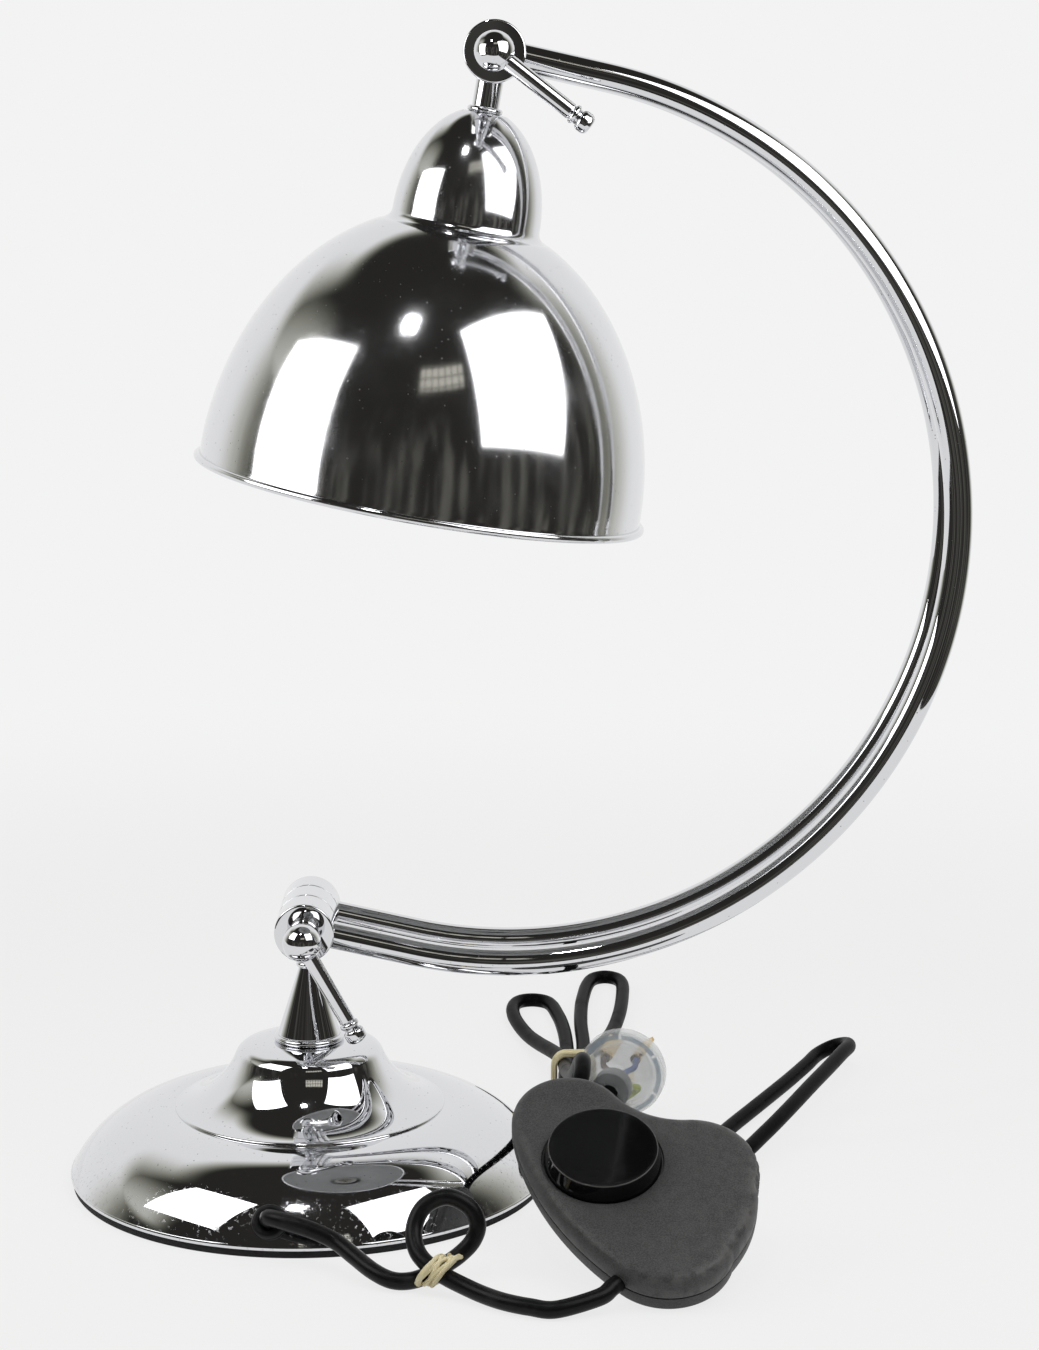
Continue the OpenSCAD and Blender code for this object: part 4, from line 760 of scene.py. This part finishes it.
def wound(corners, place, radius, turns, width, sweeps, strand, lean):
    """A strand wound round a row of circles and across the band, flat where the table stops it."""
    ring, bend_steps, table = [], 14, 0.15
    for before, corner, after in zip(np.roll(corners, 1, 0), corners, np.roll(corners, -1, 0)):
        enter, leave = bearing(before, corner) - 90, bearing(corner, after) - 90
        ring += arc(corner, 1.0, enter, enter + (leave - enter) % 360, bend_steps)
    ring = np.array(ring)
    out = ring - np.repeat(np.array(corners, float), bend_steps + 1, 0)
    steps = np.arange(turns * len(ring))
    share = steps / len(steps)
    reach = radius - 1 + 1.4 * strand * share
    spots = ring[steps % len(ring)] + out[steps % len(ring)] * reach[:, None]
    waver = 0.3 * np.sin(steps * 0.31)
    aside = 0.5 * width * np.cos(math.pi * share * sweeps) + waver + lean * spots[:, 1]
    points, faces = swept(np.column_stack([aside, spots]), strand, 14)
    world = np.array([place @ Vector(p) for p in points])
    world[:, 2] = np.maximum(world[:, 2], table)
    return [place.inverted() @ Vector(p) for p in world], faces


front_tie_place = (Matrix.Translation((54.2, -123.85, 6.7)) @ Matrix.Rotation(math.radians(-8), 4, "Z")
                   @ Matrix.Rotation(math.radians(-17.6), 4, "X"))
front_strand = wound([(-5.3, 0), (5.3, 0)], front_tie_place,
                     radius=4.1, turns=8, width=7.0, sweeps=6.6, strand=0.85, lean=0.8)
front_band = piece("front_rubber_band", front_strand, front_tie_place, tan_rubber, "base", ["front_tie"])
rear_tie_place = Matrix.Translation((107.9, 101, 9)) @ Matrix.Rotation(math.radians(90), 4, "Z")
rear_strand = wound([(-3.6, -3.6), (3.6, -3.6), (3.6, 3.6), (-3.6, 3.6)], rear_tie_place,
                    radius=4.25, turns=8, width=5.0, sweeps=5.4, strand=0.9, lean=0.15)
rear_band = piece("rear_rubber_band", rear_strand, rear_tie_place, tan_rubber, "base", ["rear_tie"])

# Plug: a round flat flange of clear moulded plastic holds three flat brass pins, and a clear cover
# with a short barrel screws on behind. The coloured wires and their brass clamps show through.
plug_at, plug_turn = Vector((128.9, 76, 18.6)), -103
along_plug = (Matrix.Translation(plug_at) @ Matrix.Rotation(math.radians(plug_turn), 4, "Z")
              @ Matrix.Rotation(math.radians(90), 4, "Y"))


def clear_moulding(name, tint, veil):
    """Clear plastic, milky where it is thick, with faint rubbing marks."""
    made, place = open_finish(name)
    bloom = smooth_step(cloud(place, 7, 4.0), 0.42, 0.78)
    return close_finish(made, place, {
        "Base Color": mix_colour(bloom, tint, (0.93, 0.95, 0.96, 1)), "Roughness": 0.07 + 0.14 * bloom,
        "Alpha": veil + 0.10 * bloom})


clear = clear_moulding("clear_plastic", tint=(0.86, 0.90, 0.92, 1), veil=0.16)
milky = clear_moulding("milky_plastic", tint=(0.84, 0.87, 0.88, 1), veil=0.36)
bluish = clear_moulding("bluish_plastic", tint=(0.58, 0.68, 0.78, 1), veil=0.50)
flange_outline = ([(0, 0), (17.4, 0)] + arc((17.4, 1.2), 1.2, -90, 0, 6) + arc((17.6, 5.5), 1.0, 0, 90, 6)
                  + [(13, 6.5), (13, 3.2), (0, 3.2)])
plug_flange = piece("plug_flange", turned(flange_outline, 160),
                    along_plug, milky, "base", ["plug_base"])
notch_sides, notch_step, notch_width = 180, 30, 2
notch_points, notch_faces = turned([(15.4, 6.52), (17.3, 6.52), (17.3, 6.95), (15.4, 6.95)], notch_sides)
notch_faces = [face for i, face in enumerate(notch_faces) if i % notch_sides % notch_step >= notch_width]
plug_ring = piece("plug_ring_notched", (notch_points, notch_faces),
                  along_plug, bluish, "base", [])
cover_outline = ([(13.8, 6.5), (15.3, 6.5), (15.3, 10.2)] + arc((13.3, 11.0), 2.0, 0, 70, 6)
                 + [(11.0, 14.6), (10.4, 16), (9.85, 32.6)] + arc((8.85, 33.0), 1.0, 0, 90, 6)
                 + [(3.9, 34), (3.9, 31.8), (8.2, 31.8), (8.2, 14), (11.8, 12), (13.8, 9)])
plug_cover = piece("plug_barrel_cover", turned(cover_outline, 160),
                   along_plug, clear, "base", ["plug_cover"])
grip_rubber = black_rubber("grip_rubber", tone=0.045, gloss=0.45, grain=0.01)
grip_outline = ([(3.5, 22.8)] + arc((7.7, 23.3), 0.45, -90, 0, 4) + arc((7.7, 31.2), 0.45, 0, 90, 4)
                + [(3.5, 31.7)])
plug_grip = piece("plug_cord_grip", turned(grip_outline, 96),
                  along_plug, grip_rubber, "base", ["plug_grip"])


def wire_cover(name, tone, deep):
    made, place = open_finish(name)
    streak = cloud(place, 2.2, 3.0)
    return close_finish(made, place, {
        "Base Color": mix_colour(streak, tone, deep), "Roughness": 0.35 + 0.15 * streak})


wire_radius, clamp_radius, clamp_low, clamp_high, clamp_sides = 1.25, 2.3, 5.6, 8.2, 12
clamp_turns = np.radians(np.arange(0, 360, 360 / clamp_sides))
clamp_faces = between(2, clamp_sides) + [tuple(range(clamp_sides)),
                                         tuple(range(clamp_sides, 2 * clamp_sides))]
for name, (x, y), (bow_x, bow_y), tone, deep in (
        ("blue_wire", (-7.9, 6.9), (0, 0), (0.06, 0.12, 0.42, 1), (0.04, 0.08, 0.28, 1)),
        ("brown_wire", (-7.9, -6.9), (0, 0), (0.13, 0.06, 0.03, 1), (0.08, 0.035, 0.02, 1)),
        ("striped_wire", (10.3, 0), (-2.4, 8.6), (0.62, 0.66, 0.06, 1), (0.42, 0.54, 0.07, 1))):
    way = smooth_line([(x * 0.12, y * 0.12, 24), (x * 0.16, y * 0.16, 19),
                       (x * 0.45 + bow_x, y * 0.5 + bow_y / 2, 15),
                       (x * 0.62 + bow_x, y * 0.95 + bow_y, 11.6),
                       (x * 0.9, y + bow_y / 3, 9.4), (x * 0.94, y, 7)], 8)
    piece(name, swept(way, wire_radius, 16), along_plug, wire_cover(name, tone, deep),
                             "base", [])
    clamp = [(x * 0.94 + clamp_radius * math.cos(a), y * 0.94 + clamp_radius * math.sin(a), height)
             for height in (clamp_low, clamp_high) for a in clamp_turns]
    piece(name + "_clamp", (clamp, clamp_faces), along_plug, brass, "base", [])

# Mains cord: the same black cord, from the dimmer's rear lobe. It is folded in a long hank behind the
# lamp, held by the second band, and ends in the plug.
mains_entry = 80
mains_stops = [house_entry(rear_lobe, rear_radius, mains_entry, out) for out in (-4, 3, 10)] + [
    (108.8, -33, 56.8), (108.6, -20, 53.2), (107.9, -3, 45), (107, 20, 34.6), (105.9, 46, 26),
    (104.9, 70, 19.6), (104.3, 87, 15.4), (104.2, 101, 12.8), (103, 112, 12), (100.8, 124, 10.4),
    (97.6, 138, 8.2), (93.4, 154, 5.8), (88.6, 172, 3.9), (84.4, 190, 3.4), (81.8, 206, 3.4),
    (81.6, 219.6, 3.4), (84.4, 228.4, 3.4), (90.6, 231.4, 3.4), (96.8, 228.4, 3.4), (100, 221, 3.4),
    (102.2, 208, 3.4), (104, 194, 3.4), (105.4, 174, 3.4), (105.9, 150, 3.4), (105.4, 126, 4.4),
    (104.6, 112, 5.2), (104.3, 101, 5.4), (103, 86, 4.2), (101.4, 64, 3.4), (102.9, 40, 3.4),
    (107.8, 16, 3.4), (112.4, -6, 3.4), (122.4, -21, 3.4), (140.1, -25, 3.4), (156.4, -17, 4),
    (171.8, -2, 6.4), (185.2, 22, 9), (196.8, 46, 11), (209.2, 75.5, 12), (219, 100, 12),
    (227, 121, 11.8), (231.2, 134, 10.6), (231.2, 144.4, 8.6), (225.8, 149.6, 5.8), (218.4, 144, 3.8),
    (212.1, 130, 3.4), (201.2, 105.6, 3.4), (186.4, 74.4, 3.4), (172.2, 44.6, 3.4), (163.2, 24, 3.4),
    (153.6, 5, 3.4), (139.2, -7, 3.4), (124.9, -3, 3.4), (116, 14, 3.4), (111.4, 38, 3.4),
    (110.4, 64, 3.4), (111.1, 86, 4.2), (111.5, 101, 5.4), (112, 114, 4.8), (112.8, 134, 3.6),
    (113.4, 162, 3.4), (113, 192, 3.4), (113.8, 220, 3.4), (115.4, 240, 3.4), (117.4, 256, 3.4),
    (120.4, 266.6, 3.4), (126.2, 270.8, 3.4), (132, 267.2, 3.4), (134.4, 258, 3.4), (134, 240, 3.4),
    (131.8, 212, 3.4), (127.9, 184, 3.4), (123.4, 160, 5), (118.6, 136, 9), (113.6, 116, 12.2),
    (111.6, 101, 12.6), (110.8, 89, 11.9), (106.4, 71, 11.6), (101.9, 50, 14.5), (99, 28, 17.8),
    (98, 11, 19.2), (98.1, -1, 19.5), (100.5, -6.9, 19.6), (106.4, -9.4, 19.4), (112.3, -6.9, 19.2),
    (114.8, 0, 19), (115.2, 9, 18.8)] + [along_plug @ Vector((0, 0, out)) for out in (58, 43, 23)]
mains_line = smooth_line(mains_stops, 12)
mains_black = black_rubber("mains_black", tone=0.0055, gloss=0.33, grain=0.006, shine=0.02)
mains_cord = cord_piece("mains_cord_hank", mains_line, mains_black, "mains_cord")

# Floor: a wide sheet of white paper, which keeps a faint soft shadow. It ends in front of the lamp,
# where the dark studio begins, as the plate's reflections show.
pale = (0.895, 0.895, 0.895, 1)
paper_edge = [(-0.6, -0.8, 0), (0.45, -0.8, 0), (0.66, 0.35, 0), (2.6, 8, 0), (-6, 8, 0), (-6, 1.5, 0),
              (-1.0, -0.2, 0)]
paper, place = open_finish("white_paper")
paper_tone = mix_colour(cloud(place, 4, 5.0), (0.80, 0.80, 0.80, 1), (0.83, 0.83, 0.83, 1))
matt = place.node("BsdfDiffuse", {}, {"Color": paper_tone})
sight = place.node("LightPath", {}, {}, "Is Camera Ray")
seen = sight.math("MAXIMUM", sight, sight.math("MAXIMUM", sight.beside("Is Glossy Ray"),
                                               sight.beside("Is Transmission Ray")))
far = place.node("VectorMath", {"operation": "LENGTH"}, {0: place}, "Value")
away = smooth_step(far, 0.35, 1.0)
glow = place.node("Emission", {}, {"Color": pale, "Strength": 1.0})
surface = place.node("MixShader", {}, {0: seen * (0.87 + 0.13 * away), 1: matt, 2: glow})
place.node("OutputMaterial", {}, {"Surface": surface})
sheet_mesh = bpy.data.meshes.new("paper_floor")
sheet_mesh.from_pydata(paper_edge, [], [tuple(range(len(paper_edge)))])
sheet_mesh.materials.append(paper)
floor = bpy.data.objects.new("paper_floor", sheet_mesh)
bpy.context.scene.collection.objects.link(floor)

# Studio: a white wall behind, which runs on a little at the left, and a dark hall in front with posts
# and a high window. Two softboxes stand close by, left and right, a small lamp hangs high in front,
# and a wide sheet overhead fills the shadows.
studio = bpy.data.worlds.new("studio")
studio.use_nodes = True
studio.node_tree.nodes.clear()
bpy.context.scene.world = studio
air = Wire(studio.node_tree)
look = air.node("TexCoord", {}, {}, "Generated")
right = air.node("SeparateXYZ", {}, {"Vector": look}, 0)
ahead, rise = right.beside(1), right.beside(2)
level = (1.0001 - rise * rise) ** 0.5
leftward, rightward = right.math("MAXIMUM", 0.0 - right, 0.0), right.math("MAXIMUM", right, 0.0)
around = ahead / level - 0.15 * rightward
turn = around - 0.52 * leftward * smooth_step(rise, 0.42, 0.62)
wall = smooth_step(turn, 0.0, 0.70) * smooth_step(rise, 0.86, 0.74)
left_wall = (smooth_step(leftward, 0.60, 0.88) * smooth_step(rise, 0.36, 0.47)
             * smooth_step(around, -0.36, 0.0))
wall = wall.math("MAXIMUM", wall, left_wall * 0.6)
drawn_up = air.node("VectorMath", {"operation": "MULTIPLY"}, {0: look, 1: (1, 1, 0.1)})
posts = air.node("TexNoise", {}, {"Vector": drawn_up, "Scale": 11.0, "Detail": 3.0})
hall = smooth_step(posts, 0.46, 0.70) * smooth_step(rise, 0.55, 0.05)
gloom = mix_colour(hall, (0.024, 0.023, 0.021, 1), (0.125, 0.122, 0.108, 1))
aside = right / level
across, up = aside * 14, rise * 19
panes = (across.math("FRACT", across, 0.0) > 0.14) * (up.math("FRACT", up, 0.0) > 0.16)
window = (smooth_step(aside, -0.06, -0.04) * smooth_step(aside, 0.42, 0.40) * smooth_step(rise, 0.56, 0.575)
          * smooth_step(rise, 0.70, 0.685) * panes * smooth_step(ahead, -0.2, -0.5))
room = mix_colour(wall, mix_colour(window, gloom, (0.62, 0.60, 0.52, 1)),
                  mix_colour(wall, (0.88, 0.88, 0.70, 1), (0.90, 0.90, 0.90, 1)))
sight = air.node("LightPath", {}, {}, "Is Camera Ray")
sky = air.node("Background", {}, {"Color": mix_colour(sight, room, pale), "Strength": 1.0})
air.node("OutputWorld", {}, {"Surface": sky})


def softbox(name, centre, facing, width, height, power, roll=0.0, mirrored=True):
    """A flat lamp of that size in millimetres, which the camera doesn't see."""
    lamp = bpy.data.lights.new(name, "AREA")
    lamp.shape, lamp.size, lamp.size_y, lamp.energy = "RECTANGLE", width * MM, height * MM, power
    made = bpy.data.objects.new(name, lamp)
    made.location = Vector(centre) * MM
    aimed = Vector(facing).to_track_quat("-Z", "Y").to_matrix()
    made.rotation_euler = (aimed @ Matrix.Rotation(math.radians(roll), 3, "Z")).to_euler()
    made.visible_camera = False
    made.visible_glossy = mirrored
    bpy.context.scene.collection.objects.link(made)


softbox("left_softbox", (-360, -140, 475), (0.731, 0.63, -0.245), width=355, height=390, power=1.3)
softbox("right_softbox", (415, -255, 560), (-0.72, 0.42, -0.54), width=460, height=450, power=1.7, roll=-14)
softbox("front_lamp", (-70, -420, 1040), (0.2, 0.5, -0.84), width=80, height=80, power=0.8)
softbox("ceiling_sheet", (100, 100, 1700), (0, 0, -1), width=1800, height=1800, power=9.0, mirrored=False)

# Camera: it stands straight in front of the lamp, a little below its top, and looks slightly down
# through a long lens, so that the bow hardly narrows with distance.
look_down, look_aside = 0.183, -0.0015
lens = bpy.data.cameras.new("camera")
lens.sensor_width, lens.lens = 36, 82.02
lens.clip_start, lens.clip_end = 0.05, 50
camera = bpy.data.objects.new("camera", lens)
camera.location = Vector((82.4, -1185.4, 423.5)) * MM
camera.rotation_euler = (math.pi / 2 - look_down, 0, look_aside)
bpy.context.scene.collection.objects.link(camera)
bpy.context.scene.camera = camera
bpy.context.scene.view_settings.view_transform = "Standard"
